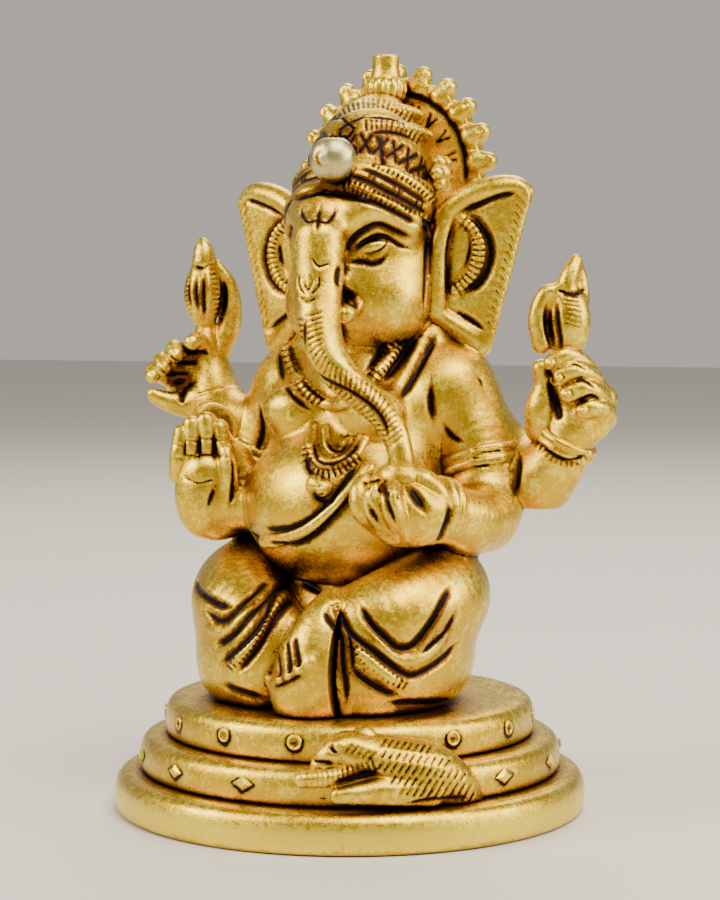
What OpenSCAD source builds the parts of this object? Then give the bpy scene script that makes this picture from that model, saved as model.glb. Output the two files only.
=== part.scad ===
// Seated four-armed elephant-headed figure on a round three-step base, cast in brass.
// The front of the figure faces -Y, its left hand side is +X, and Z = 0 is the resting face.

/* [Base] */
// Radius of the bottom step
base_r = 39.5; // [36:0.5:48]
// Height of the bottom step
bottom_h = 6.6; // [5.5:0.1:9]
// Radius of the middle step
middle_r = 35.3; // [34:0.1:36]
// Height of the middle step
middle_h = 6; // [5:0.1:8]
// Radius of the top step
top_r = 31; // [29:0.1:33]
// Height of the top step
top_h = 6.2; // [5:0.1:8]
// Rounding of the rim of each step
rim = 2.3; // [0.8:0.1:2.4]
// Radius of the hollow under the base
hollow_r = 25; // [18:0.5:27]

/* [Figure heights] */
// Height of the lap over the base
lap_h = 24; // [20:0.5:29]
// Height from the lap to the shoulders
torso_h = 31; // [27:0.5:37]
// Height from the shoulders to the crown band
head_h = 27.2; // [25:0.2:32]
// Height from the crown band to the top of the finial
crown_h = 26; // [23:0.5:31]

/* [Figure widths] */
// Width across the knees
knee_w = 50; // [44:1:58]
// Thickness of a thigh
thigh_d = 18; // [15:0.5:20]
// Width of the belly
belly_w = 35; // [30:0.5:40]
// Depth of the belly
belly_d = 34; // [29:0.5:38]
// Width across the shoulder joints
shoulder_w = 30; // [27:0.5:35]
// Thickness of an upper arm
arm_d = 12.5; // [10:0.5:14]
// Thickness of a wrist
wrist_d = 8; // [6.5:0.5:9]
// Width between the two rear fists
fist_span = 75; // [68:1:88]

/* [Head] */
// Width of the head
head_w = 24.5; // [21:0.5:28]
// Span from ear tip to ear tip
ear_span = 54; // [48:1:62]
// Height of an ear
ear_h = 29; // [25:0.5:34]
// Thickness of an ear
ear_t = 2.6; // [2:0.1:3.4]
// Thickness of the trunk at its root
trunk_root_d = 11; // [9.5:0.5:13]
// Thickness of the trunk at its tip
trunk_tip_d = 5.2; // [4.2:0.2:6.5]
// Thickness of a tusk
tusk_d = 2.6; // [2:0.1:3.2]

/* [Crown and halo] */
// Diameter of the crown band
crown_d = 25; // [22:0.5:29]
// Diameter of the round boss on the crown
boss_d = 7.6; // [6:0.2:9]
// Diameter of the halo plate behind the crown
halo_d = 38; // [34:1:44]
// Thickness of the halo plate
halo_t = 2.6; // [2:0.1:3.6]
// Number of lobes around the upper half of the halo
halo_lobes = 13; // [9:2:17]
// Radius of the finial
finial_r = 2.5; // [2:0.1:3.2]

/* [Hands and emblems] */
// Length of a rear emblem above its fist
emblem_h = 22; // [18:0.5:26]
// Thickness of a rear emblem
emblem_d = 8; // [6.5:0.5:9.5]
// Diameter of the sweet in the open hand
sweet_d = 8; // [7:0.5:10]
// Length of the raised hand
palm_h = 17; // [14:0.5:20]

/* [Mouse] */
// Length of the mouse from nose to rump
mouse_l = 27; // [22:0.5:33]
// Thickness of the mouse's body
mouse_d = 10; // [8:0.5:12]
// Turn of the mouse's middle around the base, from the front towards the left side
mouse_turn = 37; // [15:1:45]

/* [Hidden] */
brass = "#c9a23c";
dark_brass = "#a8842f";
step_fn = 96;       // sides of a base step where it cuts a neighbour
ball_fn = 12;       // sides of a ball inside a limb
body_fn = 18;       // sides of a body ellipsoid
small_fn = 8;       // sides of a fingertip or a bead

// Levels
seat_z = bottom_h + middle_h + top_h;
lap_z = seat_z + lap_h;
shoulder_z = lap_z + torso_h;
crown_z = shoulder_z + head_h;
top_z = crown_z + crown_h;

// Joints of the body, as [x, y, z, radius]
thigh_r = thigh_d / 2;
arm_r = arm_d / 2;
wrist_r = wrist_d / 2;
trunk_r = trunk_root_d / 2;
trunk_tip_r = trunk_tip_d / 2;
belly = [0, -1, lap_z + belly_w / 4];
chest = [0, 3, shoulder_z - 8];
neck = [0, 7, shoulder_z + 4];
head_c = [0, 4, crown_z - 10];
band_c = [0, 5, crown_z];
knee_x = knee_w / 2 - thigh_r;
shoulder = [shoulder_w / 2, 9, shoulder_z - 3, arm_r + 1];
front_elbow = [shoulder_w / 2 + 7.5, 6, lap_z + 7.5, arm_r - 0.8];
open_palm = [shoulder_w / 2 + 2.5, -15, lap_z + 8.5];
raised_wrist = [-shoulder_w / 2 - 4, -6.5, lap_z + 6.5, wrist_r];
raised_palm = [-shoulder_w / 2 - 6, -10, lap_z + 6.5];
right_fist = [-fist_span / 2, 8, shoulder_z];
left_fist = [fist_span / 2, 8, shoulder_z - 4];
trunk_root = [0, -6, crown_z - 10, trunk_r];
sweet_c = [open_palm[0], open_palm[1], open_palm[2] + wrist_r / 2 + sweet_d / 2];
trunk_tip = [sweet_c[0] - 0.3, sweet_c[1], sweet_c[2] + sweet_d / 2, trunk_tip_r];
halo_c = [0, band_c[1] + crown_d / 2 + halo_t / 2 - 0.9, top_z - halo_d / 2 - 3];
crown_top = [0, 13.5, top_z - 8];

// ---- Shape helpers ----

function bezier(c, t) = let (u = 1 - t)
    c[0] * u * u * u + 3 * c[1] * u * u * t + 3 * c[2] * u * t * t + c[3] * t * t * t;
function along(a, b, t) = a + (b - a) * t;
function mirrored(p) = [-p[0], p[1], p[2], p[3]];

module bead(p) {
    translate([p[0], p[1], p[2]]) sphere(r = p[3], $fn = ball_fn);
}

module ellipsoid(c, r) {
    translate(c) scale(r) sphere(r = 1, $fn = body_fn);
}

// A body lofted from one ellipsoid to another in a number of even steps
module loft(c1, r1, c2, r2, steps = 4) {
    for (i = [0 : steps - 1]) hull() {
        ellipsoid(along(c1, c2, i / steps), along(r1, r2, i / steps));
        ellipsoid(along(c1, c2, (i + 1) / steps), along(r1, r2, (i + 1) / steps));
    }
}

// A round bar through every point of a list, with its radius at each point
module chain(points) {
    for (i = [0 : len(points) - 2]) hull() {
        bead(points[i]);
        bead(points[i + 1]);
    }
}

// A limb bent on one smooth curve between its four control points
module limb(c, steps = 8) {
    chain([for (i = [0 : steps]) bezier(c, i / steps)]);
}

// A ring of wire around a limb, square to the direction it runs in
module ring_around(centre, direction, ring_r, wire_r) {
    d = direction / norm(direction);
    translate([centre[0], centre[1], centre[2]]) rotate([0, acos(d[2]), atan2(d[1], d[0])])
        rotate_extrude($fn = 24) translate([ring_r, 0]) circle(r = wire_r, $fn = small_fn);
}

module step_outline(r, h, inner_r = 0) {
    difference() {
        union() {
            square([r - rim, h]);
            translate([0, rim]) square([r, h - 2 * rim]);
            translate([r - rim, rim]) circle(r = rim);
            translate([r - rim, h - rim]) circle(r = rim);
        }
        if (inner_r > 0) translate([-1, -1]) square([inner_r + 1, h + 2]);
    }
}

// The whole base without its hollow, used to cut what stands on it
module base_solid() {
    cylinder(r = base_r, h = bottom_h, $fn = step_fn);
    translate([0, 0, bottom_h]) cylinder(r = middle_r, h = middle_h, $fn = step_fn);
    translate([0, 0, bottom_h + middle_h]) cylinder(r = top_r, h = top_h, $fn = step_fn);
}

// ---- Base ----

module base_bottom_step() {
    color(brass) rotate_extrude() step_outline(base_r, bottom_h, hollow_r);
}

module base_middle_step() {
    color(brass) translate([0, 0, bottom_h]) rotate_extrude() step_outline(middle_r, middle_h, hollow_r);
}

module base_top_step() {
    color(brass) translate([0, 0, bottom_h + middle_h]) rotate_extrude() step_outline(top_r, top_h);
}

// The mouse climbs along the front of the base: nose to the right side, rump to the left side
function on_rim(r, turn, z) = [r * sin(turn), -r * cos(turn), z];
mouse_angle = mouse_l / middle_r * 180 / PI;
function mouse_at(share, r, z, thick) =
    concat(on_rim(r, mouse_turn + (share - 0.5) * mouse_angle, z), [thick]);

module mouse_raw() {
    m = mouse_d / 2;
    z = bottom_h + m;
    limb([mouse_at(0, middle_r + 2, z + 2, m * 0.35), mouse_at(0.3, middle_r + 1, z + 4, m),
          mouse_at(0.7, middle_r + 0.5, z + 4, m * 1.15), mouse_at(1, middle_r + 1, z - 1, m * 0.7)], 7);
    chain([mouse_at(0.05, middle_r + 2.6, z - 2, m * 0.3), mouse_at(0.25, middle_r + 3.2, z - 2, m * 0.4),
           mouse_at(0.5, middle_r + 2, z - 1, m * 0.5)]);
}

module mouse_ear_raw() {
    translate(on_rim(middle_r + 2.2, mouse_turn - mouse_angle * 0.24, bottom_h + mouse_d * 1.2))
        rotate([0, 0, mouse_turn]) scale([1.3, 1, 1]) sphere(r = 2, $fn = 14);
}

module mouse() {
    color(brass) difference() {
        mouse_raw();
        base_solid();
    }
}

module mouse_ear() {
    color(brass) difference() {
        mouse_ear_raw();
        base_solid();
        mouse_raw();
    }
}

// ---- Lap and legs ----

module above(z) {
    translate([-100, -100, z]) cube([200, 200, 200]);
}

module hips_raw() {
    intersection() {
        ellipsoid([0, 4, seat_z + lap_h * 0.42], [knee_w * 0.42, 19, lap_h * 0.62]);
        above(seat_z);
    }
}

module leg_raw(side) {
    z = lap_z - thigh_r;
    intersection() {
        union() {
            limb([[side * 8, 6, z, thigh_r], [side * (knee_x + 5), 5, z, thigh_r],
                  [side * (knee_x + 5), -14, z, thigh_r * 0.9], [side * 7, -15.5, z - 5, thigh_r * 0.6]]);
            limb([[side * (knee_x - 1), 2, seat_z + 6, thigh_r * 0.85],
                  [side * (knee_x + 3), -8, seat_z + 6, thigh_r * 0.9],
                  [side * (knee_x - 2), -19, seat_z + 6, thigh_r * 0.75],
                  [side * 6, -19, seat_z + 5, thigh_r * 0.62]], 6);
        }
        above(seat_z);
    }
}

module right_foot_raw() {
    intersection() {
        union() {
            chain([[-1.5, -19, lap_z - 7, 4.2], [0.5, -21.5, seat_z + 9, 5], [1, -21, seat_z + 3, 4.6]]);
            for (i = [0 : 4]) hull() {
                bead([-1 - i * 0.5, -25 + i * 0.5, seat_z + 11 - i * 1.9, 1.25 - i * 0.08]);
                bead([-6.5 - i * 0.2, -23.5 + i * 0.5, seat_z + 9.5 - i * 1.7, 1.15 - i * 0.08]);
            }
        }
        above(seat_z);
    }
}

module left_foot_raw() {
    intersection() {
        chain([[6, -23, seat_z + 1, 2.4], [10, -24, seat_z + 1, 2.4], [15, -22.5, seat_z + 1, 2]]);
        above(seat_z);
    }
}

module waist_cloth_raw() {
    intersection() {
        union() {
            limb([[4.5, -15, lap_z - 2, 3.4], [5, -21, lap_z - 5, 3],
                  [5.4, -25, seat_z + 10, 2.8], [5.8, -24, seat_z + 1, 3.2]], 7);
            chain([[5, -17, lap_z - 3, 3], [10, -16.5, lap_z - 0.5, 2.4]]);
            chain([[5, -17, lap_z - 3, 3], [0, -18, lap_z - 1, 2.4]]);
        }
        above(seat_z);
    }
}

module hips() {
    color(brass) difference() {
        hips_raw();
        torso_raw();
    }
}

module right_leg() {
    color(brass) difference() {
        leg_raw(-1);
        hips_raw();
        torso_raw();
    }
}

module left_leg() {
    color(brass) difference() {
        leg_raw(1);
        hips_raw();
        torso_raw();
        leg_raw(-1);
    }
}

module right_foot() {
    color(brass) difference() {
        right_foot_raw();
        hips_raw();
        torso_raw();
        leg_raw(-1);
        leg_raw(1);
    }
}

module left_foot() {
    color(brass) difference() {
        left_foot_raw();
        leg_raw(1);
        leg_raw(-1);
        right_foot_raw();
    }
}

module waist_cloth() {
    color(dark_brass) difference() {
        waist_cloth_raw();
        hips_raw();
        torso_raw();
        leg_raw(-1);
        leg_raw(1);
        right_foot_raw();
        left_foot_raw();
    }
}

// ---- Torso and what lies on it ----

module torso_raw() {
    loft(belly, [belly_w / 2, belly_d / 2, belly_w * 0.42], chest, [shoulder_w * 0.5, 12, 10], 4);
    for (side = [-1, 1]) loft(chest, [8, 10, 9], [side * (shoulder_w / 2 - 2), 9, shoulder_z - 3],
                              [arm_r + 2, arm_r + 2, arm_r + 2], 2);
    chain([[0, 6, shoulder_z - 4, 8.5], [neck[0], neck[1], neck[2], 8]]);
}

// A point on the belly, at a turn from the front and a lift from its widest height
function on_belly(turn, lift) =
    [belly_w / 2 * sin(turn) * cos(lift), belly[1] - belly_d / 2 * cos(turn) * cos(lift),
     belly[2] + belly_w * 0.42 * sin(lift)];

module sash_raw() {
    chain([for (i = [0 : 8]) concat(on_belly(38 - i * 13, 38 - i * 7.5), [1.5])]);
}

module necklace_raw() {
    limb([[-11, 3, shoulder_z + 1, 1.7], [-8, -12, shoulder_z - 9, 2], [9, -12, shoulder_z - 9, 2],
          [12, 3, shoulder_z + 1, 1.7]], 9);
}

module pendant_raw() {
    chain([for (i = [0 : 8]) [-0.5 - 5 * cos(i * 45), -10.5 - 2 * cos(abs(i - 4) * 20),
           chest[2] - 5 + 4.5 * sin(i * 45), 1.9]]);
}

module torso() {
    color(brass) torso_raw();
}

module sash() {
    color(dark_brass) difference() {
        sash_raw();
        torso_raw();
        leg_raw(-1);
        hips_raw();
        pendant_raw();
    }
}

module necklace() {
    color(dark_brass) difference() {
        necklace_raw();
        torso_raw();
        head_raw();
        trunk_raw();
        pendant_raw();
    }
}

module pendant() {
    color(dark_brass) difference() {
        pendant_raw();
        torso_raw();
        trunk_raw();
    }
}

// ---- Front arms ----

module front_left_arm_raw() {
    limb([shoulder, along(shoulder, front_elbow, 0.5) + [2, 1, 0, -0.4],
          along(shoulder, front_elbow, 0.9) + [1, 1, 0, -0.6], front_elbow], 5);
    limb([front_elbow, front_elbow + [0.5, -6, -1.5, -0.3],
          [open_palm[0] + 4, open_palm[1] + 8, open_palm[2] - 1, wrist_r + 0.3],
          [open_palm[0] + 2.5, open_palm[1] + 4.5, open_palm[2], wrist_r]], 5);
}

module front_right_arm_raw() {
    elbow = mirrored(front_elbow);
    limb([mirrored(shoulder), along(mirrored(shoulder), elbow, 0.5) + [-2, 1, 0, -0.4],
          along(mirrored(shoulder), elbow, 0.9) + [-1, 1, 0, -0.6], elbow], 5);
    chain([elbow, along(elbow, raised_wrist, 0.5), raised_wrist]);
}

module open_hand_raw() {
    translate([open_palm[0], open_palm[1], open_palm[2]]) {
        scale([1.25, 1, 0.85]) sphere(r = wrist_r + 1, $fn = 18);
        for (i = [0 : 3]) hull() {
            translate([-3.5, -1 - i * 0.4, 2.2 - i * 2.1]) sphere(r = 1.5, $fn = small_fn);
            translate([2.5, -4.2, 2.6 - i * 2.2]) sphere(r = 1.5, $fn = small_fn);
        }
    }
}

module raised_hand_raw() {
    translate([raised_palm[0], raised_palm[1], raised_palm[2]]) {
        scale([5, 3, palm_h * 0.36]) sphere(r = 1, $fn = 18);
        for (i = [0 : 3]) hull() {
            translate([-3.6 + i * 2.3, 0, palm_h * 0.2]) sphere(r = 1.55, $fn = small_fn);
            translate([-3.9 + i * 2.5, 0.3, palm_h * 0.62 + (i == 1 || i == 2 ? 1.3 : 0)])
                sphere(r = 1.3, $fn = small_fn);
        }
        hull() {
            translate([4, 0, 0]) sphere(r = 1.8, $fn = small_fn);
            translate([5.4, -0.8, palm_h * 0.34]) sphere(r = 1.4, $fn = small_fn);
        }
    }
}

module sweet_raw() {
    translate([sweet_c[0], sweet_c[1], sweet_c[2]]) sphere(d = sweet_d, $fn = 24);
}

module front_left_arm() {
    color(brass) difference() {
        front_left_arm_raw();
        torso_raw();
        leg_raw(1);
        hips_raw();
    }
}

module front_right_arm() {
    color(brass) difference() {
        front_right_arm_raw();
        torso_raw();
        leg_raw(-1);
        hips_raw();
    }
}

module open_hand() {
    color(brass) difference() {
        open_hand_raw();
        torso_raw();
        front_left_arm_raw();
        leg_raw(1);
        hips_raw();
        bangle_rings();
    }
}

module raised_hand() {
    color(brass) difference() {
        raised_hand_raw();
        torso_raw();
        front_right_arm_raw();
        leg_raw(-1);
        hips_raw();
    }
}

module sweet() {
    color(dark_brass) difference() {
        sweet_raw();
        open_hand_raw();
        torso_raw();
        front_left_arm_raw();
    }
}

// ---- Rear arms, fists and emblems ----

module rear_arm_raw(side, fist) {
    elbow = [side * (shoulder_w / 2 + 10), 11, lap_z + 15, arm_r - 1.2];
    wrist = [fist[0] - side * 2, fist[1] + 1, fist[2] - 5, wrist_r];
    limb([[side * (shoulder[0] - 1), 11, shoulder[2] - 2, arm_r], elbow + [-side * 4, 1, 3, 0.6],
          elbow, along(elbow, wrist, 0.3)], 5);
    limb([along(elbow, wrist, 0.3), along(elbow, wrist, 0.5), along(elbow, wrist, 0.8), wrist], 4);
}

module fist_raw(side, fist) {
    translate([fist[0], fist[1], fist[2]]) {
        scale([1.15, 1, 1.05]) sphere(r = wrist_r + 0.8, $fn = 18);
        for (i = [0 : 3]) hull() {
            translate([-side * 2, -3.6, 3.9 - i * 2.4]) sphere(r = 1.45, $fn = small_fn);
            translate([side * 3.4, -2.6, 3.5 - i * 2.4]) sphere(r = 1.5, $fn = small_fn);
        }
    }
}

module emblem_raw(foot, tip) {
    r = emblem_d / 2;
    limb([concat(foot, [r * 0.55]), concat(along(foot, tip, 0.33), [r * 1.15]),
          concat(along(foot, tip, 0.62), [r * 1.2]), concat(tip - [0, 0, r * 0.2], [r * 0.22])], 8);
}

goad_foot = [right_fist[0] + 4, 9, right_fist[2] + 2];
goad_tip = [right_fist[0] + 5.5, 10, right_fist[2] + emblem_h];
conch_foot = [left_fist[0] - 2.5, 9, left_fist[2] + 3];
conch_tip = [left_fist[0], 9.5, left_fist[2] + emblem_h];

module bangle_rings() {
    ring_around([open_palm[0] + 3, open_palm[1] + 5.6, open_palm[2]], [0.5, 1, 0], wrist_r + 0.1, 1.3);
}

module rear_bangle_raw(side, fist) {
    ring_around([fist[0] - side * 3.6, fist[1] + 1.3, fist[2] - 6.2], [side, -0.2, 0.9], wrist_r + 0.2, 1.3);
}

module armlet_raw(side) {
    top = side > 0 ? shoulder : mirrored(shoulder);
    low = side > 0 ? front_elbow : mirrored(front_elbow);
    ring_around(along(top, low, 0.62) + [side * 1, 1, 0, 0], [low[0] - top[0], low[1] - top[1], low[2] - top[2]],
                arm_r - 0.2, 1.5);
}

module rear_right_arm() {
    color(brass) difference() {
        rear_arm_raw(-1, right_fist);
        torso_raw();
        front_right_arm_raw();
        raised_hand_raw();
    }
}

module rear_left_arm() {
    color(brass) difference() {
        rear_arm_raw(1, left_fist);
        torso_raw();
        front_left_arm_raw();
    }
}

module rear_right_fist() {
    color(brass) difference() {
        fist_raw(-1, right_fist);
        rear_arm_raw(-1, right_fist);
        raised_hand_raw();
    }
}

module rear_left_fist() {
    color(brass) difference() {
        fist_raw(1, left_fist);
        rear_arm_raw(1, left_fist);
        front_left_arm_raw();
    }
}

module goad() {
    color(dark_brass) difference() {
        emblem_raw(goad_foot, goad_tip);
        fist_raw(-1, right_fist);
        rear_arm_raw(-1, right_fist);
    }
}

module conch() {
    color(dark_brass) difference() {
        emblem_raw(conch_foot, conch_tip);
        fist_raw(1, left_fist);
        rear_arm_raw(1, left_fist);
    }
}

module right_armlet() {
    color(dark_brass) difference() {
        armlet_raw(-1);
        front_right_arm_raw();
        rear_arm_raw(-1, right_fist);
        torso_raw();
    }
}

module left_armlet() {
    color(dark_brass) difference() {
        armlet_raw(1);
        front_left_arm_raw();
        rear_arm_raw(1, left_fist);
        torso_raw();
    }
}

module open_hand_bangle() {
    color(dark_brass) difference() {
        bangle_rings();
        front_left_arm_raw();
        torso_raw();
        leg_raw(1);
        hips_raw();
    }
}

module rear_right_bangle() {
    color(dark_brass) difference() {
        rear_bangle_raw(-1, right_fist);
        rear_arm_raw(-1, right_fist);
        fist_raw(-1, right_fist);
        front_right_arm_raw();
    }
}

module rear_left_bangle() {
    color(dark_brass) difference() {
        rear_bangle_raw(1, left_fist);
        rear_arm_raw(1, left_fist);
        fist_raw(1, left_fist);
        front_left_arm_raw();
    }
}

// ---- Head ----

module head_raw() {
    loft(head_c, [head_w / 2, 12.5, 10.5], [0, 1, shoulder_z + 8.5], [head_w * 0.42, 9, 6], 4);
    loft([0, -3, crown_z - 7], [8, 6, 7], [0, -4.5, crown_z - 15], [6.5, 5, 5], 4);
}

module trunk_raw() {
    bend = [trunk_tip[0] - 4, trunk_tip[1] + 1, trunk_tip[2] + 13, trunk_tip_r + 1.4];
    middle = [2, -12.5, shoulder_z + 2, trunk_r * 0.8];
    limb([trunk_root, [-1.5, -9, crown_z - 16, trunk_r * 0.98], [-2.5, -12, shoulder_z + 7, trunk_r * 0.92],
          middle], 7);
    limb([middle, [7.5, -13, shoulder_z - 4, trunk_r * 0.7], bend, trunk_tip], 8);
}

module tusk_raw(side) {
    chain([for (i = [0 : 3]) [side * (6.5 + i * 0.9), -8 - i * 1.2, shoulder_z + 9.5 - i * 0.9,
           tusk_d / 2 * (1 - 0.12 * i)]]);
}

module ear_raw(side) {
    top = crown_z + 2.5;
    reach = ear_span / 2;
    root = [side * head_w * 0.4, 7];
    outline = [[root[0], root[1], top - 3], [side * (reach - 7), 9.5, top + 0.5],
               [side * (reach - 1.5), 12, top - 1], [side * (reach - 3), 12, top - ear_h * 0.45],
               [side * (reach - 8), 11, top - ear_h + 2], [side * (reach - 12), 9.5, top - ear_h + 3],
               [root[0], root[1] + 0.5, top - ear_h * 0.55]];
    hub = [side * (reach - 10), 9.3, top - ear_h * 0.4];
    for (i = [0 : len(outline) - 1]) {
        a = outline[i];
        b = outline[(i + 1) % len(outline)];
        hull() for (p = [a, b, hub]) translate(p) sphere(r = ear_t / 2, $fn = small_fn);
    }
    chain([for (i = [0 : 2]) [outline[i][0], outline[i][1] - 0.6, outline[i][2], ear_t * 0.75]]);
}

module head() {
    color(brass) difference() {
        head_raw();
        torso_raw();
    }
}

module trunk() {
    color(brass) difference() {
        trunk_raw();
        head_raw();
        torso_raw();
        sweet_raw();
        open_hand_raw();
    }
}

module tusk(side) {
    color(brass) difference() {
        tusk_raw(side);
        head_raw();
        trunk_raw();
        torso_raw();
    }
}

module right_tusk() {
    tusk(-1);
}

module left_tusk() {
    tusk(1);
}

module ear(side) {
    color(brass) difference() {
        ear_raw(side);
        head_raw();
        torso_raw();
        crown_band_raw();
    }
}

module right_ear() {
    ear(-1);
}

module left_ear() {
    ear(1);
}

// ---- Crown and halo ----

module crown_band_raw() {
    translate(band_c) rotate([-8, 0, 0]) hull() {
        translate([0, 0, -3]) scale([1, 1.04, 1]) cylinder(d = crown_d, h = 3, $fn = 40);
        translate([0, 0.5, 3.5]) cylinder(d = crown_d - 2.6, h = 1.5, $fn = 40);
    }
}

module crown_cap_raw() {
    intersection() {
        limb([[0, 6, crown_z + 1, crown_d * 0.44], [0, 7, crown_z + 9, crown_d * 0.4],
              [0, 12, crown_z + 11, crown_d * 0.27], [crown_top[0], crown_top[1], crown_top[2], 1.8]], 8);
        above(crown_z + 1);
    }
}

module crown_boss_raw() {
    translate([-3.2, band_c[1] - crown_d / 2 - 0.6, crown_z + 2.6])
        scale([1, 0.62, 1]) sphere(d = boss_d, $fn = 24);
}

module finial_raw() {
    translate([crown_top[0], crown_top[1], 0]) {
        translate([0, 0, crown_top[2] + 1]) scale([1, 1, 0.45]) sphere(r = finial_r + 1.4, $fn = 20);
        translate([0, 0, crown_top[2] + 1])
            cylinder(r1 = finial_r, r2 = finial_r - 0.5, h = top_z - crown_top[2] - 1, $fn = 24);
    }
}

module crown_flower_raw(side) {
    translate([side * (crown_d / 2 - 0.3), band_c[1] + 4.5, crown_z + 5]) {
        sphere(r = 2.2, $fn = 12);
        for (i = [0 : 5]) rotate([i * 60, 0, 0]) translate([0, 0, 2.1]) sphere(r = 1.2, $fn = small_fn);
    }
}

module halo_raw() {
    r = halo_d / 2;
    translate(halo_c) rotate([90, 0, 0]) translate([0, 0, -halo_t / 2]) {
        cylinder(r = r - 1.6, h = halo_t, $fn = 48);
        for (i = [0 : halo_lobes - 1])
            rotate([0, 0, -12 + i * 204 / (halo_lobes - 1)]) translate([r - 1.7, 0, 0])
                cylinder(r = 1.7, h = halo_t, $fn = 14);
    }
}

module crown_band() {
    color(dark_brass) difference() {
        crown_band_raw();
        head_raw();
        crown_cap_raw();
    }
}

module crown_cap() {
    color(brass) difference() {
        crown_cap_raw();
        head_raw();
        finial_raw();
    }
}

module crown_boss() {
    color("#e0d8b8") difference() {
        crown_boss_raw();
        crown_band_raw();
        crown_cap_raw();
        head_raw();
    }
}

module finial() {
    color(brass) finial_raw();
}

module crown_flower(side) {
    color(brass) difference() {
        crown_flower_raw(side);
        crown_band_raw();
        crown_cap_raw();
        halo_raw();
        head_raw();
    }
}

module right_crown_flower() {
    crown_flower(-1);
}

module left_crown_flower() {
    crown_flower(1);
}

module halo() {
    color(brass) difference() {
        halo_raw();
        crown_cap_raw();
        crown_band_raw();
        head_raw();
        torso_raw();
        ear_raw(-1);
        ear_raw(1);
        finial_raw();
    }
}

base_bottom_step();
base_middle_step();
base_top_step();
mouse();
mouse_ear();
hips();
right_leg();
left_leg();
right_foot();
left_foot();
waist_cloth();
torso();
sash();
necklace();
pendant();
front_right_arm();
raised_hand();
front_left_arm();
open_hand();
sweet();
rear_right_arm();
rear_right_fist();
goad();
rear_left_arm();
rear_left_fist();
conch();
right_armlet();
left_armlet();
open_hand_bangle();
rear_right_bangle();
rear_left_bangle();
head();
trunk();
right_tusk();
left_tusk();
right_ear();
left_ear();
crown_band();
crown_cap();
crown_boss();
finial();
right_crown_flower();
left_crown_flower();
halo();
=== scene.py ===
# %% [markdown]
# # A seated brass figure, sculpted in code
# The real object is a small cast of brass: a four-armed, elephant-headed figure on a round
# stepped base with a mouse at its foot. Its maker shapes each piece in wax, joins the pieces,
# cuts the lines and casts the whole. This lesson follows the same order. First comes the
# frame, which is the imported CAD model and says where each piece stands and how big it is.

# %% The frame and the size of the work
import math

import bpy
import numpy as np
import openvdb
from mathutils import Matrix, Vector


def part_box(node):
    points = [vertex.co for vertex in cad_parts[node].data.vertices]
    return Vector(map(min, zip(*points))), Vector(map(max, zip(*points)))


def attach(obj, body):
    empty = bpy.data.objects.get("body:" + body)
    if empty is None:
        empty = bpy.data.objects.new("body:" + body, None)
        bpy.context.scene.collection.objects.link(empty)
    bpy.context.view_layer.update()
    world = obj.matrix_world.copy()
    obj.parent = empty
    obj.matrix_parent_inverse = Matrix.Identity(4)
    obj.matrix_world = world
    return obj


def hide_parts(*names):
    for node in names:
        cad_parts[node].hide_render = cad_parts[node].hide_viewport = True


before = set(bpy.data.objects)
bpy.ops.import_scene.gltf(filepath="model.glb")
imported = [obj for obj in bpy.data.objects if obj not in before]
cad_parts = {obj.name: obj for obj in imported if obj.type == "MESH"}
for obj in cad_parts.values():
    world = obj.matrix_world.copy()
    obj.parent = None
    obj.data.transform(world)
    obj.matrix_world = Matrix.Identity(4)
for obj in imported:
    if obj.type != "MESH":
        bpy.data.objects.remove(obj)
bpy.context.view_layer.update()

DRAWN_HEIGHT = 127.0
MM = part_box("finial")[1][2] / DRAWN_HEIGHT
FINE_CELL, QUICK_CELL = 0.27, 0.42
CELL = FINE_CELL
print("one drawn millimetre is", round(MM * 1000, 4), "mm, cell", CELL)


def node_box(node):
    """A node's lowest and highest corner, in drawn millimetres."""
    low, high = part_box(node)
    return np.array(low) / MM, np.array(high) / MM


def middle(node):
    low, high = node_box(node)
    return (low + high) / 2


SEAT = node_box("base_top_step")[1][2]


# %% [markdown]
# ## The clay
# A sculptor adds lumps, smooths them together and cuts lines with a tool. A grid of distances
# does the same in code: each cell holds how far it is from the surface, negative inside. Two
# lumps melt together with a soft minimum, and a cut is a small push of the surface along a
# line. Meshes would need boolean cuts for this, which leave bad faces on soft shapes.

# %% The grid of distances
FAR = 6.0
GRID_LOW = np.array([-45.0, -40.0, 5.0])
GRID_HIGH = np.array([45.0, 41.0, 129.0])
COUNT = np.ceil((GRID_HIGH - GRID_LOW) / CELL).astype(int)
AXES = [(GRID_LOW[i] + CELL * np.arange(COUNT[i])).astype(np.float32) for i in range(3)]


def window(low, high):
    """The cells between two corners, as slices and as coordinates that broadcast."""
    a = np.clip(np.floor((np.array(low) - GRID_LOW) / CELL).astype(int), 0, COUNT - 1)
    b = np.clip(np.ceil((np.array(high) - GRID_LOW) / CELL).astype(int) + 1, a + 1, COUNT)
    cells = tuple(slice(int(i), int(j)) for i, j in zip(a, b))
    x, y, z = (AXES[i][cells[i]] for i in range(3))
    return cells, (x[:, None, None], y[None, :, None], z[None, None, :])


def part_of(cells, low, high):
    """The part of a window between two corners, counted from the window's first cell."""
    start, stop = (np.array([getattr(s, end) for s in cells]) for end in ("start", "stop"))
    a = np.floor((np.array(low) - GRID_LOW) / CELL).astype(int) - start
    b = np.ceil((np.array(high) - GRID_LOW) / CELL).astype(int) + 1 - start
    a, b = np.clip(a, 0, stop - start), np.clip(b, 0, stop - start)
    return None if np.any(b <= a) else tuple(slice(int(i), int(j)) for i, j in zip(a, b))


def coordinates(xyz, part):
    x, y, z = xyz
    return x[part[0]], y[:, part[1]], z[:, :, part[2]]


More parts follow.
